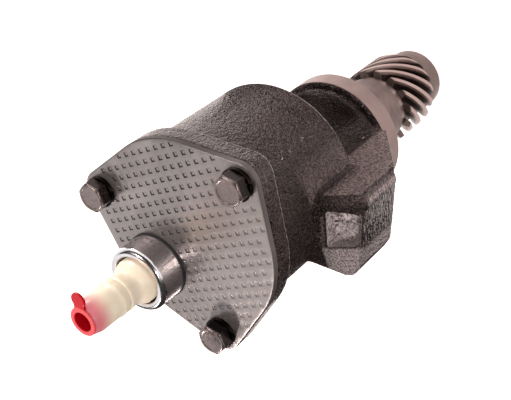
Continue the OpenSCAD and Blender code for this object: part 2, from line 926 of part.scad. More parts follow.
// Outlet reed under the disc, in its pocket
reed_t = 0.4;
reed_stop_t = 1;
reed_screw_r = 1.5;
reed_screw_depth = 4;
reed_screw_head_r = 2.6;
reed_screw_head_h = 1.6;

module at_reed(drop) {
    at_outlet(reed_pocket_depth - drop) children();
}

module reed_strip(t, colour) {
    color(colour)
        linear_extrude(t)
            difference() {
                reed_outline(reed_half_w);
                at_reed_screw() circle(r = reed_screw_r + bush_gap, $fn = small_fn);
            }
}

module outlet_reed() {
    at_reed(reed_t) reed_strip(reed_t, steel_colour);
}

module reed_stop() {
    at_reed(reed_t + reed_stop_t) reed_strip(reed_stop_t, bolt_colour);
}

module reed_screw() {
    color(zinc_colour)
        at_reed(reed_t + reed_stop_t + reed_screw_head_h)
            at_reed_screw() {
                cylinder(r = reed_screw_head_r, h = reed_screw_head_h, $fn = small_fn);
                cylinder(r = reed_screw_r, h = reed_screw_head_h + reed_stop_t + reed_t + reed_screw_depth,
                    $fn = small_fn);
            }
}

pump_housing();
cover_plate();
cover_seal_ring();
cover_bolts();
bolt_spring_washers();
port_ring();
port_ring_seal();
nipple_seal();
vacuum_nipple();
valve_disc();
valve_spring();
valve_retainer();
dust_plug();
gear_shaft();
thrust_washer();
rear_bush();
front_bush();
rotor();
rotor_key();
rotor_circlip();
vane(0);  // vane_1
vane(1);  // vane_2
vane(2);  // vane_3
outlet_reed();
reed_stop();
reed_screw();
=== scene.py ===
"""Dress the brake vacuum pump: castings, cover, port, gear and studio."""

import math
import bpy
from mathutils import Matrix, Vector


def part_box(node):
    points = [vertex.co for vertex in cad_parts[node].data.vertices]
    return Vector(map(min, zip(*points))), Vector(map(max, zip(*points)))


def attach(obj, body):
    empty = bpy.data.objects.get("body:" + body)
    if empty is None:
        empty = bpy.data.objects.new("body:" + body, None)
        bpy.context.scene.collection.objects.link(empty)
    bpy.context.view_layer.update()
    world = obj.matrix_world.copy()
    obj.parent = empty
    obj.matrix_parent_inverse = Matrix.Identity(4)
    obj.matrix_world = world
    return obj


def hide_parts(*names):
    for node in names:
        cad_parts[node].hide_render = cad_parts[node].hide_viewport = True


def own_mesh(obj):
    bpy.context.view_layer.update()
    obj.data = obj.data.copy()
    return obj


bl_info = {
    "name": "Brake Vacuum Pump",
    "version": (1, 0, 0),
    "blender": (4, 5, 0),
    "location": "3D View > Sidebar > Pump",
    "description": "Builds the looks of a brake vacuum pump over its CAD frame",
    "category": "Object",
}

import bmesh
import bpy
from bpy.props import FloatProperty, FloatVectorProperty, IntProperty, PointerProperty
from mathutils import Matrix, Vector

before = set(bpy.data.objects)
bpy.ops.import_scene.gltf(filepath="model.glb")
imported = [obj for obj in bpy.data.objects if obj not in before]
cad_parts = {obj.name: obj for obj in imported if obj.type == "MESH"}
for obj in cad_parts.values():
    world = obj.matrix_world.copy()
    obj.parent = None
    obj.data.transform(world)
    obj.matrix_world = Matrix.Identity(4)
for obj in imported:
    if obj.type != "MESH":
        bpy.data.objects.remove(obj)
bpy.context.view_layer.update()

MM = 0.001
BOLT_ANGLES = (30, 150, 270)
OUTLET_ANGLE = math.radians(-40)
OUTLET_R = 18 * MM
MERGE = 1e-7
SHAFT_STEEL = (0.42, 0.39, 0.38)
WASHER_IRON = (0.33, 0.26, 0.245)


def length(name, description, millimetres, low=0.0):
    """A size in metres, given in millimetres."""
    return FloatProperty(
        name=name, description=description, default=millimetres * MM,
        min=low * MM, unit="LENGTH", precision=4,
    )


def colour(name, description, value):
    """A colour that a user may change."""
    return FloatVectorProperty(
        name=name, description=description, default=value,
        size=3, min=0.0, max=1.0, subtype="COLOR",
    )


def power(name, watts):
    """The power of a lamp."""
    return FloatProperty(
        name=name, description=f"Power of the {name.lower()}", default=watts, min=0, unit="POWER"
    )


class CastingSettings(bpy.types.PropertyGroup):
    """Sizes and colours of the casting"""

    voxel: length("Skin grid", "Grid of the cast skin, which rounds its edges", 0.62, 0.3)
    smoothing: IntProperty(
        name="Smoothing", description="Rounds of smoothing of the cast skin", default=3, min=0
    )
    deck_z: length("Deck", "Height of the face that the cover lies on", 94.5)
    skin_end_z: length("Skin end", "Height on the disc where the machined rim starts", 8.4)
    chamber_r: length("Chamber radius", "Radius of the rotor chamber", 29)
    floor_z: length("Chamber floor", "Height of the chamber's floor", 48)
    offset_y: length("Chamber offset", "Chamber centre from the shaft's axis", 5.8)
    bush_r: length("Bush radius", "Radius of the bore for the bushes", 10.5)
    disc_r: length("Disc radius", "Radius of the locating disc", 25.7)
    neck_r: length("Neck radius", "Radius of the neck", 22)
    hub_r: length("Hub radius", "Radius of the bearing hub", 14.2)
    hub_len: length("Hub length", "Length of the bearing hub", 24.3)
    paint: colour("Paint", "Dark paint on the casting", (0.007, 0.0048, 0.0046))
    paint_worn: colour("Paint, worn", "Paint where it is thin", (0.11, 0.08, 0.076))
    paint_dusty: colour("Paint, dusty", "Thin dusty paint on the lug", (0.33, 0.25, 0.24))
    # Near-white colour for painted highlights in the pocket and on the rear edges, painted light on the lug's
    # front face, and rubbed streaks on the lug's outer side.
    paint_rubbed_and_highlight: colour("Paint, rubbed", "Rubbed paint in the lug's pocket", (1.0, 0.88, 0.87))
    pocket_low: FloatVectorProperty(
        name="Pocket, low corner", description="Low corner of the lug's pocket",
        default=(0.0308, -0.0152, 0.0585), size=3, subtype="TRANSLATION", unit="LENGTH",
    )
    pocket_high: FloatVectorProperty(
        name="Pocket, high corner", description="High corner of the lug's pocket",
        default=(0.0492, -0.0020, 0.0656), size=3, subtype="TRANSLATION", unit="LENGTH",
    )
    machined: colour("Machined iron", "Turned faces of the disc and hub", (0.232, 0.172, 0.163))


class CoverSettings(bpy.types.PropertyGroup):
    """Sizes and colours of the cover plate and its bolts"""

    pitch: length("Dimple pitch", "Distance between two dimples", 3.74, 1.0)
    dimple: length("Dimple side", "Side of a dimple at the surface", 1.8, 0.2)
    depth: length("Dimple depth", "Depth of a dimple", 0.17, 0.05)
    draft: length("Dimple draft", "Width of a dimple's sloped walls", 0.45, 0.01)
    row_x: length("Row x", "A dimple's place from the shaft's axis", -8.78, -100)
    row_y: length("Row y", "A dimple's place from the shaft's axis", 33.73, -100)
    margin: length("Dimple margin", "Least distance of a dimple from the plate's edge", 1.2)
    round_r: length("Plate radius", "Radius of the plate's round part", 36.1)
    lobe_r: length("Lobe radius", "Radius of the plate's three lobes", 7.4)
    circle_r: length("Bolt circle", "Radius of the circle through the bolts", 37)
    turn: FloatProperty(
        name="Dimple turn", description="Turn of the rows of dimples",
        default=0.102, subtype="ANGLE",
    )
    edge: length("Edge bevel", "Bevel of the plate's edge", 0.35)
    bolt_af: length("Bolt width", "Width of the bolt heads across their flats", 10)
    bolt_head: length("Bolt head", "Height of the bolt heads", 4.6)
    bolt_r: length("Bolt radius", "Radius of the bolts' shanks", 3)
    washer: length("Washer", "Thickness of the spring washers", 1.6)
    steel: colour("Plate steel", "Satin steel of the cover plate", (0.38, 0.335, 0.325))
    bolt_side: colour("Bolt sides", "Dark finish of the bolts", (0.014, 0.010, 0.0095))
    bolt_face: colour("Bolt faces", "Rubbed faces of the bolt heads", (0.25, 0.20, 0.19))


class PortSettings(bpy.types.PropertyGroup):
    """Sizes and colours of the vacuum port"""

    x: length("Port x", "Port from the shaft's axis", -18.9, -100)
    y: length("Port y", "Port from the shaft's axis", -5, -100)
    z: length("Port z", "Outer face of the cover plate", 96.5)
    ring_r: length("Ring radius", "Radius of the port ring", 12.2)
    ring_h: length("Ring height", "Height of the port ring", 11.5)
    opening_r: length("Opening radius", "Opening in the ring's rolled rim", 9.3)
    nipple_r: length("Nipple radius", "Radius of the nipple's stem", 6.35)
    nipple_len: length("Nipple length", "Length of the nipple", 37)
    plug_flange_r: length("Plug flange radius", "Radius of the plug's flange", 5.4)
    zinc: colour("Zinc", "Plated steel of the ring", (0.90, 0.87, 0.88))
    ivory: colour("Ivory", "Plastic of the nipple", (1.0, 0.84, 0.66))
    blush: colour("Blush", "Nipple where the plug shows through", (0.72, 0.20, 0.235))
    red: colour("Red", "Plastic of the transport plug", (0.52, 0.003, 0.010))
    # Painted light: the paler red stands in for light shining through the plug's thin rim.
    lit_rim_red: colour("Pale red", "Thin rim of the plug", (0.70, 0.09, 0.095))


class GearSettings(bpy.types.PropertyGroup):
    """Sizes and colours of the gear and shaft"""

    teeth: IntProperty(name="Teeth", description="Number of teeth", default=14, min=6)
    tip_r: length("Tip radius", "Radius over the teeth", 16.5)
    root_r: length("Root radius", "Radius at the grooves", 12.6)
    top_z: length("Gear top", "Height of the gear's front face", -27.15, -200)
    face: length("Face width", "Length of the teeth", 24.3)
    lead: length("Lead", "Rise of a tooth in one turn", 98)
    collar_r: length("Collar radius", "Radius of the end collar", 13)
    collar_len: length("Collar length", "Length of the end collar", 8)
    shaft_r: length("Shaft radius", "Radius of the shaft in its bushes", 8)
    washer_r: length("Thrust washer radius", "Radius of the thrust washer", 13.4)
    washer_t: length("Thrust washer", "Thickness of the thrust washer", 2.8)
    # The dark colour is painted shade on the flanks and in the grooves; the crest colour is rubbed steel.
    steel: colour("Gear steel", "Ground steel in the grooves", (0.055, 0.038, 0.034))
    crest: colour("Gear crests", "Rubbed crests of the teeth", (0.34, 0.255, 0.235))
    collar: colour("Collar steel", "Turned steel of the end collar", (0.16, 0.12, 0.108))


class StageSettings(bpy.types.PropertyGroup):
    """Camera, floor and lamps of the studio"""

    lens: FloatProperty(
        name="Lens", description="Focal length for a 36 mm sensor",
        default=73.46, min=10, unit="CAMERA",
    )
    floor_z: length("Floor", "Height of the floor", -59.6, -500)
    key: power("Key lamp", 2.4)
    front: power("Front lamp", 2.2)
    rim: power("Rim lamp", 1.6)
    fill: power("Fill lamp", 1.5)
    sky: FloatProperty(name="Sky", description="Strength of the world's light", default=0.42, min=0)


GROUPS = {
    "pump_casting": CastingSettings,
    "pump_cover": CoverSettings,
    "pump_port": PortSettings,
    "pump_gear": GearSettings,
    "pump_stage": StageSettings,
}


def node_copy(name):
    """A bmesh of a CAD node with its loose triangles merged."""
    bm = bmesh.new()
    bm.from_mesh(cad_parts[name].data)
    bmesh.ops.remove_doubles(bm, verts=bm.verts, dist=MERGE)
    bmesh.ops.recalc_face_normals(bm, faces=bm.faces)
    return bm


def turned(bm, profile, steps=96, centre=(0.0, 0.0)):
    """Turn a closed profile of (radius, height) pairs about an upright axis."""
    points = [bm.verts.new((centre[0] + r, centre[1], z)) for r, z in profile]
    rim = [bm.edges.new((a, b)) for a, b in zip(points, points[1:] + points[:1])]
    bmesh.ops.spin(
        bm, geom=points + rim, cent=(*centre, 0.0), axis=(0, 0, 1),
        dvec=(0, 0, 0), angle=math.tau, steps=steps, use_merge=True,
    )


def closed(bm):
    """Merge doubles and turn the faces outward."""
    bmesh.ops.remove_doubles(bm, verts=bm.verts, dist=MERGE)
    bmesh.ops.dissolve_degenerate(bm, edges=bm.edges, dist=MERGE)
    bmesh.ops.recalc_face_normals(bm, faces=bm.faces)
    return bm


def turned_mesh(profile, steps=96, centre=(0.0, 0.0)):
    """A bmesh turned from a closed profile."""
    bm = bmesh.new()
    turned(bm, profile, steps, centre)
    return closed(bm)


def soften(bm, offset, angle=30, segments=2):
    """Bevel every edge that is sharper than an angle in degrees."""
    limit = math.radians(angle)
    sharp = [e for e in bm.edges if e.is_manifold and e.calc_face_angle(0) > limit]
    bmesh.ops.bevel(
        bm, geom=sharp, offset=offset, offset_type="OFFSET", segments=segments,
        profile=0.5, affect="EDGES", clamp_overlap=True, material=-1,
    )
    return bm


def cylinder(bm, radius, low, high, x=0.0, y=0.0, segments=64):
    """Add an upright cylinder."""
    bmesh.ops.create_cone(
        bm, cap_ends=True, segments=segments, radius1=radius, radius2=radius,
        depth=high - low, matrix=Matrix.Translation((x, y, (low + high) / 2)),
    )
    return bm


def box(bm, low, high, turn=None):
    """Add a box between two corners, turned about the origin where asked."""
    low, high = Vector(low), Vector(high)
    size = Matrix.Diagonal((*(high - low), 1.0))
    place = Matrix.Translation((low + high) / 2) @ size
    bmesh.ops.create_cube(bm, size=1.0, matrix=(turn or Matrix.Identity(4)) @ place)
    return bm


def loose(name, bm):
    """An object that holds a bmesh."""
    mesh = bpy.data.meshes.new(name)
    bm.to_mesh(mesh)
    bm.free()
    obj = bpy.data.objects.new(name, mesh)
    bpy.context.scene.collection.objects.link(obj)
    return obj


def settle(obj):
    """Make what the modifiers give the object's own mesh."""
    bpy.context.view_layer.update()
    graph = bpy.context.evaluated_depsgraph_get()
    mesh = bpy.data.meshes.new_from_object(obj.evaluated_get(graph))
    old = obj.data
    obj.modifiers.clear()
    obj.data = mesh
    bpy.data.meshes.remove(old)
    mesh.name = obj.name
    return obj


def combine(obj, tool, operation="DIFFERENCE"):
    """Cut, join or intersect an object with a bmesh."""
    other = loose("tool", tool)
    change = obj.modifiers.new("combine", "BOOLEAN")
    change.operation = operation
    change.solver = "MANIFOLD"
    change.object = other
    settle(obj)
    if not len(obj.data.polygons):
        raise RuntimeError(f"{obj.name} is empty after {operation}")
    mesh = other.data
    bpy.data.objects.remove(other)
    bpy.data.meshes.remove(mesh)
    return obj


def finished(obj, finish, body, stands_for=(), angle=32):
    """Shade a piece, give it its finish and hang it on its body."""
    obj.data.materials.clear()
    obj.data.materials.append(finish)
    obj.data.shade_smooth()
    obj.data.set_sharp_from_angle(angle=math.radians(angle))
    keep_flat(obj)
    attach(obj, body)
    if stands_for:
        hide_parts(*stands_for)


def keep_flat(obj, least=2e-5):
    """Stop the shading of rounded edges from running into the large flat faces."""
    bm = bmesh.new()
    bm.from_mesh(obj.data)
    for edge in bm.edges:
        if any(f.calc_area() > least for f in edge.link_faces):
            edge.smooth = False
    bm.to_mesh(obj.data)
    bm.free()


def repaint(node, finish):
    """Give a CAD node its finish."""
    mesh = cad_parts[node].data
    mesh.materials.clear()
    mesh.materials.append(finish)


class Finish:
    """A material that reads the piece's own Object coordinates."""

    def __init__(self, name, **values):
        self.material = bpy.data.materials.new(name)
        self.material.use_nodes = True
        self.tree = self.material.node_tree
        self.shader = self.tree.nodes["Principled BSDF"]
        for key, value in values.items():
            self.shader.inputs[key.replace("_", " ")].default_value = value
        self.place = self.add("ShaderNodeTexCoord").outputs["Object"]

    def add(self, kind, inputs=(), **settings):
        """Add a node with its settings and inputs."""
        node = self.tree.nodes.new(kind)
        for key, value in settings.items():
            setattr(node, key, value)
        for key, value in dict(inputs).items():
            self.feed(node, key, value)
        return node

    def feed(self, node, key, value):
        """Link or set one input."""
        if isinstance(value, bpy.types.NodeSocket):
            self.tree.links.new(value, node.inputs[key])
        else:
            node.inputs[key].default_value = value

    def stretched(self, scale, location=(0, 0, 0)):
        """Object coordinates, moved and scaled."""
        inputs = {"Vector": self.place, "Scale": scale, "Location": location}
        return self.add("ShaderNodeMapping", inputs).outputs["Vector"]

    def noise(self, scale, detail=3.0, rough=0.5, distortion=0.0, place=None):
        """Noise from 0 to 1."""
        return self.add(
            "ShaderNodeTexNoise",
            {
                "Vector": place or self.place, "Scale": scale, "Detail": detail,
                "Roughness": rough, "Distortion": distortion,
            },
        ).outputs["Fac"]

    def spread(self, value, low, high, to_low=0.0, to_high=1.0, smooth=False):
        """Map a value from one range to another, clamped."""
        return self.add(
            "ShaderNodeMapRange",
            {"Value": value, "From Min": low, "From Max": high, "To Min": to_low, "To Max": to_high},
            interpolation_type="SMOOTHSTEP" if smooth else "LINEAR",
        ).outputs["Result"]

    def fall(self, value, low, high):
        """1 below a range, 0 past it."""
        return self.spread(value, low, high, 1.0, 0.0)

    def sum(self, first, second, operation="ADD"):
        """Maths on two values."""
        return self.add("ShaderNodeMath", {0: first, 1: second}, operation=operation).outputs[0]

    def larger(self, first, second):
        """The larger of two values."""
        return self.sum(first, second, "MAXIMUM")

    def product(self, first, *others):
        """All the values multiplied."""
        for other in others:
            first = self.sum(first, other, "MULTIPLY")
        return first

    def mix(self, share, first, second):
        """Mix two colours by a share."""
        node = self.add("ShaderNodeMix", data_type="RGBA")
        sockets = [s for s in node.inputs if s.enabled]
        for socket, value in zip(sockets, (share, first, second)):
            if isinstance(value, bpy.types.NodeSocket):
                self.tree.links.new(value, socket)
            elif socket.type == "RGBA":
                socket.default_value = (*value, 1.0)
            else:
                socket.default_value = value
        return next(s for s in node.outputs if s.enabled)

    def axis(self, letter):
        """One of the Object coordinates."""
        return self.add("ShaderNodeSeparateXYZ", {"Vector": self.place}).outputs[letter]

    def radius(self, x=0.0, y=0.0):
        """Distance from an upright axis."""
        moved = self.stretched(scale=(1, 1, 0), location=(-x, -y, 0))
        return self.add(
            "ShaderNodeVectorMath", {0: moved}, operation="LENGTH"
        ).outputs["Value"]

    def normal(self, letter, kind="Normal"):
        """One of the parts of the surface's direction."""
        direction = self.add("ShaderNodeNewGeometry").outputs[kind]
        return self.add("ShaderNodeSeparateXYZ", {"Vector": direction}).outputs[letter]

    def facing(self, letter, low, high):
        """1 where the surface faces along an axis."""
        return self.spread(self.normal(letter), low, high)

    def flatness(self, low, high):
        """1 where the surface faces along an axis, 0 on its rounded edges."""
        normal = self.add("ShaderNodeNewGeometry").outputs["Normal"]
        size = self.add("ShaderNodeVectorMath", {0: normal}, operation="ABSOLUTE").outputs["Vector"]
        x, y, z = self.add("ShaderNodeSeparateXYZ", {"Vector": size}).outputs
        return self.spread(self.larger(self.larger(x, y), z), low, high)

    def within(self, low, high, soft):
        """1 inside a box, 0 past a soft margin round it."""
        parts = []
        for letter, start, end in zip("XYZ", low, high):
            along = self.axis(letter)
            parts.append(self.spread(along, start - soft, start))
            parts.append(self.fall(along, end, end + soft))
        return self.product(*parts)

    def bump(self, height, distance, strength=1.0):
        """A bump whose height is a share of a distance."""
        inputs = {"Height": height, "Distance": distance, "Strength": strength}
        return self.add("ShaderNodeBump", inputs).outputs["Normal"]

    def set(self, **links):
        """Feed the shader's sockets."""
        for key, value in links.items():
            self.feed(self.shader, key.replace("_", " "), value)


def tint(value, factor):
    """A colour made lighter or darker."""
    return tuple(min(1.0, c * factor) for c in value)


# Marks on the lug in metres. A pair is where a mark starts and where it is whole.
WEB_SIDE, WEB_END = (0.0235, 0.026), (0.0385, 0.0405)
LUG_SIDE, LUG_END = (0.029, 0.036), (0.068, 0.071)
SHADED_BROW_LOW, SHADED_BROW_HIGH = (0.030, -0.0022, 0.0635), (0.060, 0.0012, 0.070)
LIT_FRONT_LOW, LIT_FRONT_HIGH = (0.030, -0.030, 0.0655), (0.0465, -0.0155, 0.068)
OUTER_X, OUTER_Z = (0.038, 0.040), (0.044, 0.046)
ABOVE_PARTING, BELOW_PARTING = (-0.0162, -0.0155), (-0.0168, -0.0162)
FLAT = (0.94, 0.995)


def lug_dust_and_painted_shade(f, fine):
    """Dust on the lug's and web's flat faces; the brow between them and the rounded edges are kept free of it
    as painted shade.
    """
    x, z = f.axis("X"), f.axis("Z")
    web = f.product(f.spread(x, *WEB_SIDE), f.fall(z, *WEB_END))
    lug = f.product(f.larger(f.spread(x, *LUG_SIDE), web), f.fall(z, *LUG_END))
    # Painted shade: the brow and the rounded edges keep the dark paint where shade falls.
    brow = f.within(SHADED_BROW_LOW, SHADED_BROW_HIGH, 0.0008)
    return f.product(lug, f.flatness(*FLAT), f.spread(fine, 0.38, 0.6, 0.15, 1.0), f.fall(brow, 0.0, 1.0))


def lug_outer(f, fine):
    """The lug's outer side: its upper part, the streaks along it, the rubbed lower part, and painted light on
    the lug's front face below the pocket.
    """
    y = f.axis("Y")
    facing = f.facing("X", 0.78, 0.88)
    outer = f.product(facing, f.spread(f.axis("X"), *OUTER_X), f.spread(f.axis("Z"), *OUTER_Z))
    upper = f.product(outer, f.spread(y, *ABOVE_PARTING))
    lower = f.product(outer, f.fall(y, *BELOW_PARTING))
    streaks = f.noise(1.0, 2, 0.6, place=f.stretched(scale=(900, 70, 900)))
    # Painted light: the lug's front face below the pocket is made lighter where light falls on it.
    front = f.within(LIT_FRONT_LOW, LIT_FRONT_HIGH, 0.001)
    rubbed_and_lit = f.product(f.larger(front, lower), f.spread(fine, 0.35, 0.6, 0.1, 0.36))
    rubbed_and_lit = f.larger(rubbed_and_lit, f.product(upper, f.spread(streaks, 0.5, 0.6, 0.0, 0.09)))
    return upper, streaks, rubbed_and_lit


def painted_edge_highlight(f, fine):
    """Painted highlight on the rounded rear edges of the body and flange."""
    backward = f.facing("Z", -0.85, -0.7)
    rounded = f.product(backward, f.fall(f.facing("Z", -0.4, -0.15), 0.0, 1.0))
    clear_of_lug = f.larger(f.fall(f.axis("X"), 0.030, 0.032), f.spread(f.axis("Z"), 0.075, 0.077))
    past_neck = f.spread(f.radius(), 0.0285, 0.0295)
    return f.product(rounded, clear_of_lug, past_neck, f.spread(fine, 0.35, 0.6, 0.25, 0.6))


def pocket_painted_sparkle(f, settings):
    """Painted highlight: near-white creased sparkle in the lug's pocket, whose outer wall slants."""
    slant = f.sum(f.axis("X"), f.product(f.axis("Y"), -0.35))
    inside = f.product(
        f.fall(slant, 0.0504, 0.0508), f.within(settings.pocket_low, settings.pocket_high, 0.0004)
    )
    # Painted sparkle that stands in for highlights on the pocket's bumps.
    painted_sparkle = f.spread(f.noise(760, 2.5, 0.6, 1.2), 0.32, 0.5)
    return f.product(inside, f.spread(painted_sparkle, 0.0, 1.0, 0.1, 1.0))


def painted_iron(settings):
    """Dark semi-gloss paint over a sand casting, dusty and rubbed on the lug, with painted highlights on the
    rear edges and in the pocket, painted light on the lug's front face and painted shade on the neck, brow
    and lug side.
    """
    f = Finish("painted_iron", IOR=1.55, Specular_Tint=(1.0, 0.76, 0.74, 1.0))
    broad = f.noise(60, 3, 0.55)
    peel = f.noise(620, 1.5, 0.5, 0.1)
    fine = f.noise(1400, 2, 0.6)
    # Painted shade: the lighter worn paint is random wear on the body, kept off the neck and mostly off the
    # lug's upper outer side, so that these stay dark where shade falls.
    body = f.spread(f.radius(), settings.neck_r + 1.5 * MM, settings.neck_r + 4 * MM)
    upper, streaks, rubbed_and_lit = lug_outer(f, fine)
    pocket = pocket_painted_sparkle(f, settings)
    # Mask of the near-white colour: painted highlight in the pocket and on the rear edges, painted light on
    # the lug's front face, and rubbed wear on the lug's outer side.
    light = f.larger(pocket, f.larger(rubbed_and_lit, painted_edge_highlight(f, fine)))
    thin = f.product(f.spread(fine, 0.45, 0.62), f.spread(broad, 0.35, 0.65, 0.3, 1.0), body)
    thin = f.product(thin, f.spread(upper, 0.0, 1.0, 1.0, 0.1))
    grain = f.product(
        f.sum(peel, f.product(fine, 0.8)), f.spread(body, 0.0, 1.0, 0.3, 1.0),
        f.spread(upper, 0.0, 1.0, 1.0, 0.05),
    )
    height = f.sum(grain, f.sum(pocket, f.product(upper, streaks, 0.35)))
    paint = f.mix(thin, settings.paint, settings.paint_worn)
    paint = f.mix(lug_dust_and_painted_shade(f, fine), paint, settings.paint_dusty)
    f.set(
        Base_Color=f.mix(light, paint, settings.paint_rubbed_and_highlight),
        Roughness=f.spread(broad, 0.3, 0.7, 0.1, 0.2),
        Normal=f.bump(height, 0.0023, 1.0),
    )
    return f.material


def machined_iron(settings):
    """Turned iron with fine rings and faint stains, darker on the hub."""
    f = Finish("machined_iron", Metallic=0.85)
    across, along = f.product(f.radius(), 2600.0), f.product(f.axis("Z"), 1500.0)
    place = f.add("ShaderNodeCombineXYZ", {"X": across, "Y": along}).outputs["Vector"]
    rings = f.noise(1.0, 2, 0.5, place=place)
    stain = f.noise(110, 4, 0.6, 0.5)
    hub = f.fall(f.axis("Z"), -1.5 * MM, -0.5 * MM)
    on_hub = f.product(hub, f.spread(stain, 0.3, 0.6, 0.45, 0.7))
    share = f.sum(f.product(f.spread(stain, 0.4, 0.68), 0.2), on_hub)
    f.set(
        Base_Color=f.mix(share, settings.machined, tint(settings.machined, 0.45)),
        Roughness=f.spread(stain, 0.3, 0.7, 0.36, 0.52),
        Normal=f.bump(rings, 0.00003, 0.5),
    )
    return f.material


def plate_steel(settings):
    """Satin rolled steel with painted shade on the walls of its dimples, darkest on the walls facing +x and
    +y and fading towards +x and -y, where the plate is lit.
    """
    f = Finish("plate_steel", Metallic=0.9)
    grain = f.noise(1900, 2, 0.6)
    broad = f.noise(70, 3, 0.6)
    slope_x, slope_y, slope_z = (f.normal(letter, "True Normal") for letter in "XYZ")
    wall = f.fall(slope_z, 0.94, 0.985)
    # Painted shade: the walls facing +x and +y are darkest and the others lighter, as light falls on them.
    shaded_wall_side = f.spread(f.sum(slope_x, slope_y), -0.1, 0.15, 0.35, 1.0)
    # Less painted shade towards +x and -y, where the plate is lit.
    lit_area_fade = f.spread(f.sum(f.axis("X"), f.axis("Y"), "SUBTRACT"), -0.015, 0.045, 1.0, 0.4)
    flat = f.mix(f.spread(broad, 0.35, 0.7), settings.steel, tint(settings.steel, 0.82))
    f.set(
        Base_Color=f.mix(f.product(wall, shaded_wall_side, lit_area_fade), flat, tint(settings.steel, 0.12)),
        Roughness=f.larger(f.spread(broad, 0.3, 0.7, 0.3, 0.4), f.product(wall, 0.6)),
        Normal=f.bump(grain, 0.00002, 0.4),
    )
    return f.material


def bolt_steel(settings):
    """Dark bolts whose head faces are rubbed lighter."""
    f = Finish("bolt_steel", Metallic=0.8)
    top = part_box("cover_bolts")[1][2]
    rubbed = f.spread(f.axis("Z"), float(top) - 0.9 * MM, float(top) - 0.3 * MM)
    grain = f.noise(700, 4, 0.6)
    share = f.product(rubbed, f.spread(grain, 0.25, 0.6, 0.65, 1.0))
    f.set(
        Base_Color=f.mix(share, settings.bolt_side, settings.bolt_face),
        Roughness=f.spread(grain, 0.3, 0.7, 0.18, 0.36),
        Normal=f.bump(grain, 0.00006, 0.4),
    )
    return f.material


def zinc_plate(settings):
    """Bright plated steel with faint drawing lines."""
    f = Finish("zinc_plate", Metallic=1.0)
    lines = f.noise(1.0, 2, 0.5, place=f.stretched(scale=(60, 60, 2600)))
    cloud = f.noise(160, 3, 0.5)
    f.set(
        Base_Color=f.mix(f.spread(cloud, 0.35, 0.7), settings.zinc, tint(settings.zinc, 0.85)),
        Roughness=f.spread(cloud, 0.3, 0.7, 0.13, 0.22),
        Normal=f.bump(lines, 0.00001, 0.5),
    )
    return f.material


def nipple_plastic(settings):
    """Ivory nylon that the plug tints from inside."""
    f = Finish("nipple_plastic", Roughness=0.38, Subsurface_Scale=0.004, Subsurface_Weight=0.35)
    plug_low, plug_high = settings.z + 28.5 * MM, settings.z + 36 * MM
    depth = f.spread(f.axis("Z"), plug_low, plug_high, smooth=True)
    cloud = f.noise(180, 3, 0.5)
    body = f.mix(f.spread(cloud, 0.4, 0.7), settings.ivory, tint(settings.ivory, 0.93))
    f.set(
        Base_Color=f.mix(depth, body, settings.blush),
        Normal=f.bump(f.noise(900, 2, 0.5), 0.00004, 0.35),
    )
    return f.material


def plug_plastic(settings):
    """Glossy red soft plastic, with painted light making its thin rim paler where light shines through it."""
    f = Finish(
        "plug_plastic", Roughness=0.24, Subsurface_Scale=0.002, Subsurface_Weight=0.05,
        Specular_Tint=(0.5, 0.2, 0.25, 1.0),
    )
    cloud = f.noise(200, 2, 0.5)
    reach = f.radius(settings.x, settings.y)
    rim, top = settings.plug_flange_r, settings.z + settings.nipple_len
    ring = f.product(f.spread(reach, rim * 0.66, rim * 0.72), f.fall(reach, rim, rim * 1.06))
    # Painted glow on the thin rim.
    thin = f.product(ring, f.spread(f.axis("Z"), top - 0.4 * MM, top))
    deep = f.mix(f.spread(cloud, 0.3, 0.8), settings.red, tint(settings.red, 0.8))
    f.set(
        Base_Color=f.mix(thin, deep, settings.lit_rim_red),
        Normal=f.bump(f.noise(500, 2, 0.5), 0.00004, 0.3),
    )
    return f.material


def gear_steel(settings):
    """Hobbed steel, rubbed on its crests, with painted shade on the flanks and in the grooves."""
    f = Finish("gear_steel", Metallic=0.85)
    grain = f.noise(500, 4, 0.6)
    reach = f.sum(f.radius(), f.product(grain, MM))
    crest = f.spread(reach, settings.root_r + 3 * MM, settings.tip_r - 0.2 * MM)
    front, end = settings.top_z, settings.top_z - settings.face
    face = f.spread(f.axis("Z"), front - 0.5 * MM, front - 0.2 * MM)
    collar = f.fall(f.axis("Z"), end - 0.2 * MM, end + 0.8 * MM)
    marks = f.noise(1.0, 2, 0.5, place=f.stretched(scale=(300, 300, 2500)))
    # Painted shade: dark on the flanks and in the grooves, rubbed steel on the crests.
    teeth = f.mix(crest, settings.steel, settings.crest)
    f.set(
        Base_Color=f.mix(f.larger(collar, face), teeth, settings.collar),
        Roughness=f.spread(grain, 0.3, 0.7, 0.3, 0.5),
        Normal=f.bump(marks, 0.00003, 0.5),
    )
    return f.material


def plain_metal(name, base, rough=(0.25, 0.4), metallic=1.0, grain_scale=800):
    """Metal for the inner parts, with faint grain and stains."""
    f = Finish(name, Metallic=metallic)
    grain = f.noise(grain_scale, 3, 0.6)
    broad = f.noise(120, 3, 0.6)
    f.set(
        Base_Color=f.mix(f.spread(broad, 0.35, 0.7), base, tint(base, 0.75)),
        Roughness=f.spread(grain, 0.3, 0.7, *rough),
        Normal=f.bump(grain, 0.00003, 0.5),
    )
    return f.material


def rubber(name):
    """Black rubber with a faint bloom."""
    f = Finish(name, IOR=1.45)
    bloom = f.noise(300, 4, 0.6)
    f.set(
        Base_Color=f.mix(f.spread(bloom, 0.4, 0.75), (0.012, 0.012, 0.013), (0.04, 0.04, 0.042)),
        Roughness=f.spread(bloom, 0.3, 0.7, 0.5, 0.7),
        Normal=f.bump(bloom, 0.00004, 0.4),
    )
    return f.material


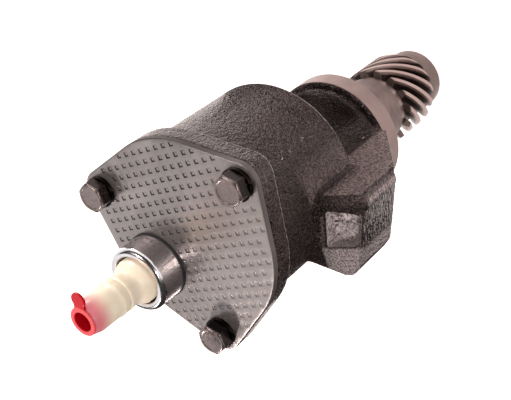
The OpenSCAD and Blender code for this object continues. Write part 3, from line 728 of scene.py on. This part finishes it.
class PUMP_OT_casting(bpy.types.Operator):
    """Build the cast skin of the body, neck and lug"""

    bl_idname = "pump.casting"
    bl_label = "Casting"

    def execute(self, context):
        s = context.scene.pump_casting
        bm = node_copy("pump_housing")
        circle_r = context.scene.pump_cover.circle_r
        seal, hole_r, hole_len, outlet_r = 2.8 * MM, 3.4 * MM, 7.4 * MM, 6 * MM
        top = s.deck_z + 2 * MM
        # Openings are filled here, so that the grid rounds only the outside
        cylinder(bm, s.chamber_r + seal, s.floor_z - MM, top, y=s.offset_y)
        cylinder(bm, s.bush_r + MM, -s.hub_len + MM, s.floor_z)
        for angle in BOLT_ANGLES:
            a = math.radians(angle)
            x, y = circle_r * math.cos(a), s.offset_y + circle_r * math.sin(a)
            cylinder(bm, hole_r, s.deck_z - hole_len, top, x, y, 32)
        x, y = OUTLET_R * math.cos(OUTLET_ANGLE), OUTLET_R * math.sin(OUTLET_ANGLE)
        cylinder(bm, outlet_r, MM, s.floor_z, x, y, 32)
        skin = loose("cast_body", bm)
        grid = skin.modifiers.new("grid", "REMESH")
        grid.mode = "VOXEL"
        grid.voxel_size = s.voxel
        settle(skin)
        bm = bmesh.new()
        bm.from_mesh(skin.data)
        for _ in range(s.smoothing):
            bmesh.ops.smooth_vert(
                bm, verts=bm.verts, factor=0.5, use_axis_x=True, use_axis_y=True, use_axis_z=True
            )
        bm.to_mesh(skin.data)
        bm.free()
        self.cut(skin, s)
        finished(skin, painted_iron(s), "housing", ["pump_housing"], 60)
        return {"FINISHED"}

    def cut(self, skin, s):
        """Cut the clean chamber, bore and ends out of the skin."""
        far = 100 * MM
        for low, high in ((s.deck_z, s.deck_z + 20 * MM), (-far, s.skin_end_z)):
            combine(skin, box(bmesh.new(), (-far, -far, low), (far, far, high)))
        chamber = cylinder(bmesh.new(), s.chamber_r, s.floor_z, s.deck_z + MM, y=s.offset_y, segments=128)
        combine(skin, chamber)
        combine(skin, cylinder(bmesh.new(), s.bush_r, -MM, s.floor_z + MM, segments=96))


class PUMP_OT_disc(bpy.types.Operator):
    """Build the machined locating disc and bearing hub"""

    bl_idname = "pump.disc"
    bl_label = "Disc and hub"

    def execute(self, context):
        s = context.scene.pump_casting
        edge, gap = 0.35 * MM, 2 * MM
        low, high = -s.hub_len, s.skin_end_z
        bm = turned_mesh([
            (s.bush_r, low + edge), (s.bush_r + edge, low), (s.hub_r - 2 * edge, low),
            (s.hub_r, low + 2 * edge), (s.hub_r, -1.2 * MM), (s.hub_r + 0.2 * MM, -0.4 * MM),
            (s.hub_r + 0.8 * MM, 0), (s.disc_r - edge, 0), (s.disc_r, edge),
            (s.disc_r, high - 0.05 * MM), (s.disc_r - 0.1 * MM, high), (s.bush_r, high),
        ], 160)
        disc = loose("machined_disc", bm)
        lean = Matrix.Rotation(math.radians(12), 4, "Z")
        turn = Matrix.Rotation(OUTLET_ANGLE, 4, "Z") @ Matrix.Translation((OUTLET_R, 0, 0)) @ lean
        half, span, deep, side = 3.5 * MM, 11 * MM, 4.2 * MM, 3.35 * MM
        for centre in ((0, 0), (0, span)):
            place = turn @ Vector((*centre, 0))
            combine(disc, cylinder(bmesh.new(), half, -gap, deep, place.x, place.y, 48))
        combine(disc, box(bmesh.new(), (-side, 0, -gap), (side, span, deep), turn))
        hole = turn @ Vector((0, 0, 0))
        combine(disc, cylinder(bmesh.new(), 2.4 * MM, -gap, high + MM, hole.x, hole.y, 40))
        oil_hole = cylinder(bmesh.new(), 1.5 * MM, s.bush_r - gap, s.hub_r + gap, segments=24)
        across = Matrix.Translation((0, 0, -s.hub_len / 2)) @ Matrix.Rotation(math.radians(-90), 4, "Y")
        bmesh.ops.transform(oil_hole, verts=oil_hole.verts, matrix=across)
        combine(disc, oil_hole)
        finished(disc, machined_iron(s), "housing", (), 28)
        return {"FINISHED"}


class PUMP_OT_cover(bpy.types.Operator):
    """Build the dimpled cover plate"""

    bl_idname = "pump.cover"
    bl_label = "Cover plate"

    def execute(self, context):
        s = context.scene.pump_cover
        top = float(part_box("cover_plate")[1][2])
        bm = node_copy("cover_plate")
        bmesh.ops.dissolve_limit(
            bm, angle_limit=math.radians(1), verts=bm.verts, edges=bm.edges, delimit={"NORMAL"}
        )
        outline = [
            e for e in bm.edges
            if all(abs(v.co.z - top) < 1e-6 for v in e.verts) and e.is_manifold and e.calc_face_angle(0) > 1
        ]
        bmesh.ops.bevel(
            bm, geom=outline, offset=s.edge, offset_type="OFFSET", segments=3,
            profile=0.5, affect="EDGES", clamp_overlap=True, material=-1,
        )
        closed(bm)
        self.sink(bm, top, s, context.scene)
        cover = loose("dimpled_cover", closed(bm))
        finished(cover, plate_steel(s), "housing", ["cover_plate"], 30)
        return {"FINISHED"}

    def flat(self, bm, top):
        """Faces of the plate's flat top."""
        return [f for f in bm.faces if f.normal.z > 0.999 and abs(f.calc_center_median().z - top) < 1e-6]

    def sink(self, bm, top, s, scene):
        """Cut the flat top along the sides of the dimples and sink the squares."""
        turn = Matrix.Rotation(s.turn, 3, "Z")
        start = Vector((s.row_x, s.row_y, top))
        half, count = s.dimple / 2, math.ceil(80 * MM / s.pitch)
        for axis in (turn @ Vector((1, 0, 0)), turn @ Vector((0, 1, 0))):
            for step in range(-count, count + 1):
                for side in (-half, half):
                    faces = self.flat(bm, top)
                    geom = {g for f in faces for g in (f, *f.edges, *f.verts)}
                    place = start + axis * (step * s.pitch + side)
                    bmesh.ops.bisect_plane(bm, geom=list(geom), dist=MERGE, plane_co=place, plane_no=axis)
        squares = {}
        for face in self.flat(bm, top):
            spot = turn.inverted() @ (face.calc_center_median() - start) / s.pitch
            cell = (round(spot.x), round(spot.y))
            if max(abs(spot.x - cell[0]), abs(spot.y - cell[1])) * s.pitch < half:
                squares.setdefault(cell, []).append(face)
        dimples = []
        for cell, faces in squares.items():
            spot = start + turn @ Vector((*cell, 0)) * s.pitch
            whole = abs(sum(f.calc_area() for f in faces) / s.dimple ** 2 - 1) < 0.04
            if whole and self.has_room(spot.x, spot.y, s, scene):
                if len(faces) > 1:
                    faces = bmesh.ops.dissolve_faces(bm, faces=faces, use_verts=True)["region"]
                dimples.extend(faces)
        if len(dimples) < 100:
            raise RuntimeError("the cover has too few dimples")
        bmesh.ops.inset_individual(
            bm, faces=dimples, thickness=s.draft, depth=-s.depth, use_even_offset=True
        )

    def has_room(self, x, y, s, scene):
        """Is there room for a dimple here?"""
        port, offset = scene.pump_port, scene.pump_casting.offset_y
        if math.hypot(x - port.x, y - port.y) < port.ring_r + 0.9 * MM:
            return False
        y -= offset
        inside = math.hypot(x, y) < s.round_r - s.margin
        for angle in BOLT_ANGLES:
            a = math.radians(angle)
            along = x * math.cos(a) + y * math.sin(a)
            across = abs(-x * math.sin(a) + y * math.cos(a))
            if math.hypot(along - s.circle_r, across) < s.bolt_af / 2 + 1.7 * MM:
                return False
            touch = math.acos((s.round_r - s.lobe_r) / s.circle_r)
            reach = along * math.cos(touch) + across * math.sin(touch)
            base = along * math.sin(touch) - across * math.cos(touch)
            beside = 0 < base < s.circle_r * math.sin(touch) and 0 < reach < s.round_r - s.margin
            inside = inside or beside or math.hypot(along - s.circle_r, across) < s.lobe_r - s.margin
        return inside


class PUMP_OT_bolts(bpy.types.Operator):
    """Build the cover bolts and their spring washers"""

    bl_idname = "pump.bolts"
    bl_label = "Bolts and washers"

    def execute(self, context):
        s = context.scene.pump_cover
        top = context.scene.pump_port.z
        bolts, washers = bmesh.new(), bmesh.new()
        for angle in BOLT_ANGLES:
            a = math.radians(angle)
            x = s.circle_r * math.cos(a)
            y = context.scene.pump_casting.offset_y + s.circle_r * math.sin(a)
            seat = top + s.washer
            self.head(bolts, x, y, seat, s)
            tip, sunk, end = seat - 12 * MM, seat + 0.5 * MM, 0.7 * MM
            shank = s.bolt_r - 0.02 * MM
            turned(bolts, [
                (0, tip), (s.bolt_r - end, tip), (shank, tip + end), (shank, sunk), (0, sunk),
            ], 32, (x, y))
            self.washer(washers, x, y, top, s)
        bolts = loose("hex_bolts", closed(bolts))
        finished(bolts, bolt_steel(s), "housing", ["cover_bolts"], 28)
        washers = loose("spring_washers", closed(washers))
        dark = plain_metal("washer_steel", tint(s.bolt_side, 1.3))
        finished(washers, dark, "housing", ["bolt_spring_washers"], 28)
        return {"FINISHED"}

    def head(self, bolts, x, y, seat, s):
        """Hexagon with turned-off corners, softened edges and a shallow dish in its face."""
        tilt = math.radians(30)
        corner = s.bolt_af / 2 / math.cos(tilt)
        face = 0.95 * s.bolt_af / 2
        drop = (corner - face) * math.tan(tilt)
        top, dish = seat + s.bolt_head, 0.12 * MM
        bm = bmesh.new()
        bmesh.ops.create_cone(
            bm, cap_ends=True, segments=6, radius1=corner, radius2=corner, depth=s.bolt_head,
            matrix=Matrix.Translation((x, y, seat + s.bolt_head / 2)),
        )
        blank = loose("blank", bm)
        limit = turned_mesh([
            (0, seat - MM), (corner + MM, seat - MM), (corner + MM, top - drop * 2), (corner, top - drop),
            (face, top), (face - 0.7 * MM, top), (face - 0.9 * MM, top - dish), (0, top - dish),
        ], 72, (x, y))
        combine(blank, limit, "INTERSECT")
        bm = bmesh.new()
        bm.from_mesh(blank.data)
        bmesh.ops.remove_doubles(bm, verts=bm.verts, dist=1e-6)
        soften(bm, 0.16 * MM, 24, 2)
        bm.to_mesh(blank.data)
        bm.free()
        bolts.from_mesh(blank.data)
        bpy.data.objects.remove(blank)

    def washer(self, bm, x, y, low, s):
        """One turn of a squared wire that rises from end to end."""
        inner, outer = s.bolt_r + 0.15 * MM, 5.78 * MM
        gap, rise = math.radians(9), 0.12 * MM
        high = low + s.washer - rise
        start = Vector((x, y, 0))
        turn = Matrix.Rotation(gap / 2, 3, "Z")
        corners = [
            bm.verts.new(start + turn @ Vector((r, 0, z)))
            for r, z in ((inner, low), (outer, low), (outer, high), (inner, high))
        ]
        end = bm.faces.new(corners)
        steps = 60
        bmesh.ops.spin(
            bm, geom=[end, *end.edges, *corners], cent=(x, y, 0), axis=(0, 0, 1),
            dvec=(0, 0, rise / steps), angle=math.tau - gap, steps=steps, use_merge=False,
        )


class PUMP_OT_port(bpy.types.Operator):
    """Build the port ring, its gasket, the nipple and the plug"""

    bl_idname = "pump.port"
    bl_label = "Vacuum port"

    def execute(self, context):
        s = context.scene.pump_port
        self.ring(s)
        self.nipple(s)
        self.plug(s)
        return {"FINISHED"}

    def ring(self, s):
        """Drawn ring with a rolled rim, and the gasket at its foot."""
        wall, lip, roll, edge = 1.6 * MM, 2.9 * MM, 1.9 * MM, 0.35 * MM
        low, top = s.z, s.z + s.ring_h
        foot = s.ring_r - 0.8 * MM
        rim = [
            (s.ring_r - roll + roll * math.cos(a), top - roll + roll * math.sin(a))
            for a in (math.radians(d) for d in range(0, 91, 10))
        ]
        bm = turned_mesh([
            (foot, low), (foot, low + MM), (s.ring_r - 0.1 * MM, low + MM), (s.ring_r, low + 1.1 * MM),
            *rim, (s.opening_r + edge, top), (s.opening_r, top - edge),
            (s.opening_r, top - lip), (s.ring_r - wall, top - lip), (s.ring_r - wall, low),
        ], 128, (s.x, s.y))
        finished(loose("rolled_port_ring", bm), zinc_plate(s), "housing", ["port_ring"], 40)
        outer, edge = s.ring_r + edge, 0.2 * MM
        bm = turned_mesh([
            (foot, low), (outer - edge, low), (outer, low + edge),
            (outer, low + MM - edge), (outer - edge, low + MM), (foot, low + MM),
        ], 96, (s.x, s.y))
        gasket = loose("port_gasket", bm)
        finished(gasket, rubber("port_rubber"), "housing", ["port_ring_seal"])

    def nipple(self, s):
        """Moulded nipple with its flared shoulder and two soft barbs."""
        stem, barb, top = s.nipple_r / MM, 0.4, s.nipple_len / MM
        profile = [
            (7, 0), (10.45, 0), (10.45, 5.8), (8.6, 5.8), (8.42, 12), (8.3, 12.5), (8.0, 13.1), (7.55, 14.4),
            (stem + 1.5 * barb, 15.0), (stem + 0.5 * barb, 15.8), (stem + 0.1 * barb, 16.5), (stem, 17.2),
        ]
        for foot in (18.9, 22.5):
            profile += [
                (stem + 0.5 * barb, foot), (stem + barb, foot + 1.3),
                (stem + 0.85 * barb, foot + 1.6), (stem + 0.1 * barb, foot + 2.0),
            ]
        profile += [
            (stem, 26), (stem - 0.02, 33.2), (stem - 0.1, 33.9), (5.55, 36.6), (5.2, top),
            (4.35, top), (4.2, 36.8), (4.2, 7.6), (3.3, 7.6), (3.3, 6.6), (7, 6.6),
        ]
        bm = turned_mesh([(r * MM, s.z + height * MM) for r, height in profile], 96, (s.x, s.y))
        nipple = loose("moulded_nipple", bm)
        finished(nipple, nipple_plastic(s), "housing", ["vacuum_nipple"], 42)

    def plug(self, s):
        """Push-in plug with a flange and a round pull tab."""
        low = s.z + s.nipple_len
        edge, thick, length_in = 0.25 * MM, 0.9 * MM, 12 * MM
        top, tip = low + thick, low - length_in
        r, bore, stem = s.plug_flange_r, 3.5 * MM, 4.15 * MM
        bm = turned_mesh([
            (0, tip), (stem - 2 * edge, tip), (stem, tip + 2 * edge), (stem, low),
            (r - edge, low), (r, low + edge), (r, top - edge), (r - edge, top),
            (bore + edge, top), (bore, top - edge), (bore, tip + 1.5 * MM), (0, tip + 1.5 * MM),
        ], 72, (s.x, s.y))
        plug = loose("red_plug", bm)
        turn = Matrix.Translation((s.x, s.y, 0)) @ Matrix.Rotation(math.radians(75), 4, "Z")
        start, reach, half, skin = 4.4 * MM, 8.4 * MM, 2.3 * MM, 0.02 * MM
        spot = turn @ Vector((reach, 0, 0))
        tab = cylinder(bmesh.new(), 2.9 * MM, low, top, spot.x, spot.y, 48)
        combine(plug, soften(tab, edge * 0.8, 60, 2), "UNION")
        bridge = box(bmesh.new(), (start, -half, low + skin), (reach, half, top - skin), turn)
        combine(plug, bridge, "UNION")
        finished(plug, plug_plastic(s), "plug", ["dust_plug"], 40)


class PUMP_OT_gear(bpy.types.Operator):
    """Build the helical gear, its collar, the shaft and the thrust washer"""

    bl_idname = "pump.gear"
    bl_label = "Gear and shaft"

    def execute(self, context):
        s = context.scene.pump_gear
        finished(self.gear(s), gear_steel(s), "drive", ["gear_shaft"], 38)
        self.shaft(s)
        self.washer(s)
        return {"FINISHED"}

    def shaft(self, s):
        """Ground shaft with its seat for the rotor and a groove for the circlip."""
        low, rotor, top = s.top_z - 2 * MM, 48.05 * MM, 93.25 * MM
        seat, edge, deep = 7 * MM, 0.3 * MM, 0.7 * MM
        bm = turned_mesh([
            (0, low), (s.shaft_r, low), (s.shaft_r, rotor - edge), (s.shaft_r - edge, rotor), (seat, rotor),
            (seat, 90.2 * MM), (seat - deep, 90.3 * MM), (seat - deep, 91.5 * MM), (seat, 91.6 * MM),
            (seat, top - 2 * edge), (seat - 2 * edge, top), (0, top),
        ], 72)
        finished(loose("ground_shaft", bm), plain_metal("shaft_steel", SHAFT_STEEL), "drive")

    def washer(self, s):
        """Thrust washer between the hub and the gear."""
        edge, high = 0.3 * MM, -24.3 * MM
        low, inner = high - s.washer_t, s.shaft_r + 0.12 * MM
        bm = turned_mesh([
            (inner, low), (s.washer_r - edge, low), (s.washer_r, low + edge),
            (s.washer_r, high - edge), (s.washer_r - edge, high), (inner, high),
        ], 96)
        washer = plain_metal("washer_iron", WASHER_IRON, (0.35, 0.5), 0.85, 300)
        finished(loose("thrust_ring", bm), washer, "housing", ["thrust_washer"])

    def gear(self, s):
        """Tooth outline carried along the lead, its grooves rising into the collar."""
        heights = (0.0, 0.05, 0.28, 0.6, 0.88, 1.0, 1.0)
        halves = (0.34, 0.31, 0.28, 0.23, 0.185, 0.155, 0.05)
        pitch = math.tau / s.teeth
        low = s.top_z - s.face
        start = math.radians(6.8)
        foot = s.collar_r - 0.15 * MM
        run_out, crest_left, crest_end = 0.26, 0.93, 0.02
        bm = bmesh.new()
        outline = []
        for tooth in range(s.teeth):
            for side in (-1, 1):
                for k in range(len(heights)):
                    n = k if side < 0 else len(heights) - 1 - k
                    a = start + pitch * (tooth + side * halves[n])
                    r = s.root_r + (s.tip_r - s.root_r) * heights[n]
                    outline.append(bm.verts.new((r * math.cos(a), r * math.sin(a), low)))
        loop = [bm.edges.new((a, b)) for a, b in zip(outline, outline[1:] + outline[:1])]
        steps = 48
        bmesh.ops.spin(
            bm, geom=outline + loop, cent=(0, 0, 0), axis=(0, 0, 1), dvec=(0, 0, s.face / steps),
            angle=math.tau * s.face / s.lead, steps=steps, use_merge=False,
        )
        for v in bm.verts:
            share = (v.co.z - low) / s.face
            r = math.hypot(v.co.x, v.co.y)
            height = (r - s.root_r) / (s.tip_r - s.root_r)
            rise = math.sqrt(max(0.0, min(1.0, share / run_out)))
            near_end = crest_left + (1 - crest_left) * (1 - share) / crest_end
            left = rise if share < run_out else min(1.0, near_end)
            root = foot + (s.root_r - foot) * rise
            tip = max(foot + (s.tip_r - foot) * left, root)
            scale = (root + (tip - root) * height) / r
            v.co.x, v.co.y = v.co.x * scale, v.co.y * scale
        ends = [e for e in bm.edges if e.is_boundary]
        bmesh.ops.holes_fill(bm, edges=ends, sides=0)
        closed(bm)
        gear = loose("helical_gear", bm)
        edge, end, joint = 0.8 * MM, low - s.collar_len, low + 0.05 * MM
        collar = turned_mesh([
            (0, end), (s.collar_r - edge, end), (s.collar_r - 0.2 * edge, end + 0.25 * edge),
            (s.collar_r, end + edge), (s.collar_r, low - 0.2 * MM), (foot, joint), (0, joint),
        ], 128)
        combine(gear, collar, "UNION")
        half_x, half_y, deep = 8.5 * MM, 2.5 * MM, 6 * MM
        return combine(gear, box(bmesh.new(), (-half_x, -half_y, end - MM), (half_x, half_y, end + deep)))


class PUMP_OT_inner(bpy.types.Operator):
    """Give the parts inside the pump their finishes"""

    bl_idname = "pump.inner"
    bl_label = "Inner parts"

    def execute(self, context):
        bronze = plain_metal("bush_bronze", (0.55, 0.36, 0.16), (0.28, 0.42))
        rotor = plain_metal("rotor_steel", (0.36, 0.34, 0.33), (0.3, 0.45))
        spring = plain_metal("spring_steel", (0.55, 0.54, 0.55), (0.2, 0.3))
        carbon = plain_metal("vane_carbon", (0.045, 0.045, 0.05), (0.4, 0.55), 0.1, 1500)
        seal = rubber("inner_rubber")
        for finish, nodes in (
            (bronze, ("rear_bush", "front_bush")),
            (rotor, ("rotor", "rotor_key")),
            (spring, ("rotor_circlip", "valve_retainer", "outlet_reed", "reed_stop", "reed_screw")),
            (carbon, ("vane_1", "vane_2", "vane_3")),
            (seal, ("cover_seal_ring", "nipple_seal", "valve_disc")),
        ):
            for node in nodes:
                repaint(node, finish)
        self.spring(spring)
        return {"FINISHED"}

    def spring(self, finish):
        """Check valve's spring, which the disc shortens as it lifts; this copy of the CAD node keeps one
        length.
        """
        coil = loose("check_spring", node_copy("valve_spring"))
        finished(coil, finish, "housing", ["valve_spring"])
        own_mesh(coil)


class PUMP_OT_stage(bpy.types.Operator):
    """Set up the floor, lamps, world and camera"""

    bl_idname = "pump.stage"
    bl_label = "Stage"

    def execute(self, context):
        s = context.scene.pump_stage
        context.scene.view_settings.view_transform = "Standard"
        self.floor(s)
        self.world(context.scene, s)
        self.lamps(context.scene, s)
        low = s.floor_z + 2 * MM
        for name, place, size, tilt in (
            ("below", (0.015, -0.2, low), (0.23, 0.22), 0),
            # Painted shade: a black card beside the neck, so that the neck reflects black where the body
            # shades it.
            ("neck", (0.002, 0.033, 0.0102), (0.094, 0.042), 0),
            ("side", (0.115, 0.135, low), (0.08, 0.08), 0),
            ("lug", (0.175, -0.075, low), (0.06, 0.06), 0),
            ("back", (0.1, -0.18, 0.1), (0.9, 0.4), 90),
            ("above", (0, 0.38, 0.42), (1.2, 0.8), 0),
            ("front", (0.22, -0.18, 0.42), (0.8, 0.32), 0),
        ):
            self.card("dark_card_" + name, place, size, tilt)
        self.camera(context.scene, s)
        return {"FINISHED"}

    def card(self, name, place, size, tilt):
        """Black card, tilted about X, that only shows in reflections."""
        bm = bmesh.new()
        turn = Matrix.Rotation(math.radians(tilt), 4, "X")
        matrix = Matrix.Translation(place) @ turn @ Matrix.Diagonal((*size, 1.0, 1.0))
        bmesh.ops.create_grid(bm, x_segments=1, y_segments=1, size=0.5, matrix=matrix)
        card = loose(name, bm)
        black = Finish("black_card", Base_Color=(0.01, 0.01, 0.01, 1.0), Roughness=1.0)
        card.data.materials.append(black.material)
        card.visible_camera = card.visible_diffuse = card.visible_shadow = False
        card.visible_transmission = card.visible_volume_scatter = False

    def floor(self, s):
        """Pale floor that stays white to the eye and keeps a soft shadow."""
        bm = bmesh.new()
        place = Matrix.Translation((0, 0, s.floor_z))
        bmesh.ops.create_grid(bm, x_segments=1, y_segments=1, size=3.0, matrix=place)
        floor = loose("floor", bm)
        material = bpy.data.materials.new("pale_floor")
        material.use_nodes = True
        tree = material.node_tree
        base = tree.nodes["Principled BSDF"]
        base.inputs["Base Color"].default_value = (0.85, 0.79, 0.77, 1)
        base.inputs["Roughness"].default_value = 0.9
        glow = tree.nodes.new("ShaderNodeEmission")
        glow.inputs["Color"].default_value = (0.80, 0.73, 0.71, 1)
        seen = self.seen(tree)
        tree.links.new(seen, glow.inputs["Strength"])
        both = tree.nodes.new("ShaderNodeAddShader")
        tree.links.new(base.outputs[0], both.inputs[0])
        tree.links.new(glow.outputs[0], both.inputs[1])
        tree.links.new(both.outputs[0], tree.nodes["Material Output"].inputs["Surface"])
        floor.data.materials.append(material)

    def seen(self, tree):
        """1 for camera, glossy and transmission rays, 0 for the rest."""
        path = tree.nodes.new("ShaderNodeLightPath")
        value = path.outputs["Is Camera Ray"]
        for name in ("Is Glossy Ray", "Is Transmission Ray"):
            most = tree.nodes.new("ShaderNodeMath")
            most.operation = "MAXIMUM"
            tree.links.new(value, most.inputs[0])
            tree.links.new(path.outputs[name], most.inputs[1])
            value = most.outputs[0]
        return value

    def world(self, scene, s):
        """White to the eye, a plain soft sky to the surfaces."""
        world = bpy.data.worlds.new("studio")
        world.use_nodes = True
        tree = world.node_tree
        sky = tree.nodes["Background"]
        sky.inputs["Color"].default_value = (1, 1, 1, 1)
        strength = tree.nodes.new("ShaderNodeMapRange")
        strength.inputs["To Min"].default_value = s.sky
        strength.inputs["To Max"].default_value = 1.0
        tree.links.new(self.seen(tree), strength.inputs["Value"])
        tree.links.new(strength.outputs["Result"], sky.inputs["Strength"])
        scene.world = world

    def lamps(self, scene, s):
        """Key from the picture's left, front from below, rim from above and a fill from the camera's side."""
        target = Vector((0, 0, 0.05))
        for name, place, size, power in (
            ("key", (-0.20, 0.30, 0.70), 0.10, s.key),
            ("front", (-0.33, -0.47, 0.47), 0.07, s.front),
            ("rim", (-0.20, 0.50, 0.02), 0.07, s.rim),
            ("fill", (0.40, -0.02, 0.55), 0.08, s.fill),
        ):
            lamp = bpy.data.lights.new(name, "AREA")
            lamp.shape = "DISK"
            lamp.size = size
            lamp.energy = power
            lamp.color = (1.0, 0.93, 0.90)
            obj = bpy.data.objects.new(name, lamp)
            obj.location = place
            obj.rotation_euler = (target - Vector(place)).to_track_quat("-Z", "Y").to_euler()
            scene.collection.objects.link(obj)

    def camera(self, scene, s):
        """Camera at the photograph's viewpoint."""
        lens = bpy.data.cameras.new("camera")
        lens.lens = s.lens
        lens.sensor_width = 36
        lens.sensor_fit = "HORIZONTAL"
        lens.clip_start = 0.01
        obj = bpy.data.objects.new("camera", lens)
        across = Vector((0.75006, -0.31786, -0.57997))
        up = Vector((0.02765, 0.89123, -0.45270))
        back = Vector((0.66079, 0.32352, 0.67727))
        place = Matrix.Translation((0.247665, 0.121865, 0.312825))
        obj.matrix_world = place @ Matrix((across, up, back)).transposed().to_4x4()
        scene.collection.objects.link(obj)
        scene.camera = obj


class PUMP_PT_panel(bpy.types.Panel):
    """Sizes, colours and steps of the pump"""

    bl_idname = "PUMP_PT_panel"
    bl_label = "Brake Vacuum Pump"
    bl_space_type = "VIEW_3D"
    bl_region_type = "UI"
    bl_category = "Pump"

    def draw(self, context):
        for key, group in GROUPS.items():
            column = self.layout.box().column(align=True)
            column.label(text=group.__doc__)
            for prop in group.__annotations__:
                column.prop(getattr(context.scene, key), prop)
        for operator in OPERATORS:
            self.layout.operator(operator.bl_idname)


OPERATORS = (
    PUMP_OT_casting,
    PUMP_OT_disc,
    PUMP_OT_cover,
    PUMP_OT_bolts,
    PUMP_OT_port,
    PUMP_OT_gear,
    PUMP_OT_inner,
    PUMP_OT_stage,
)
CLASSES = (*GROUPS.values(), *OPERATORS, PUMP_PT_panel)


def register():
    for item in CLASSES:
        bpy.utils.register_class(item)
    for key, group in GROUPS.items():
        setattr(bpy.types.Scene, key, PointerProperty(type=group))


def unregister():
    for key in GROUPS:
        delattr(bpy.types.Scene, key)
    for item in reversed(CLASSES):
        bpy.utils.unregister_class(item)


def main():
    register()
    bpy.ops.pump.casting()
    bpy.ops.pump.disc()
    bpy.ops.pump.cover()
    bpy.ops.pump.bolts()
    bpy.ops.pump.port()
    bpy.ops.pump.gear()
    bpy.ops.pump.inner()
    bpy.ops.pump.stage()


if __name__ == "__main__":
    main()
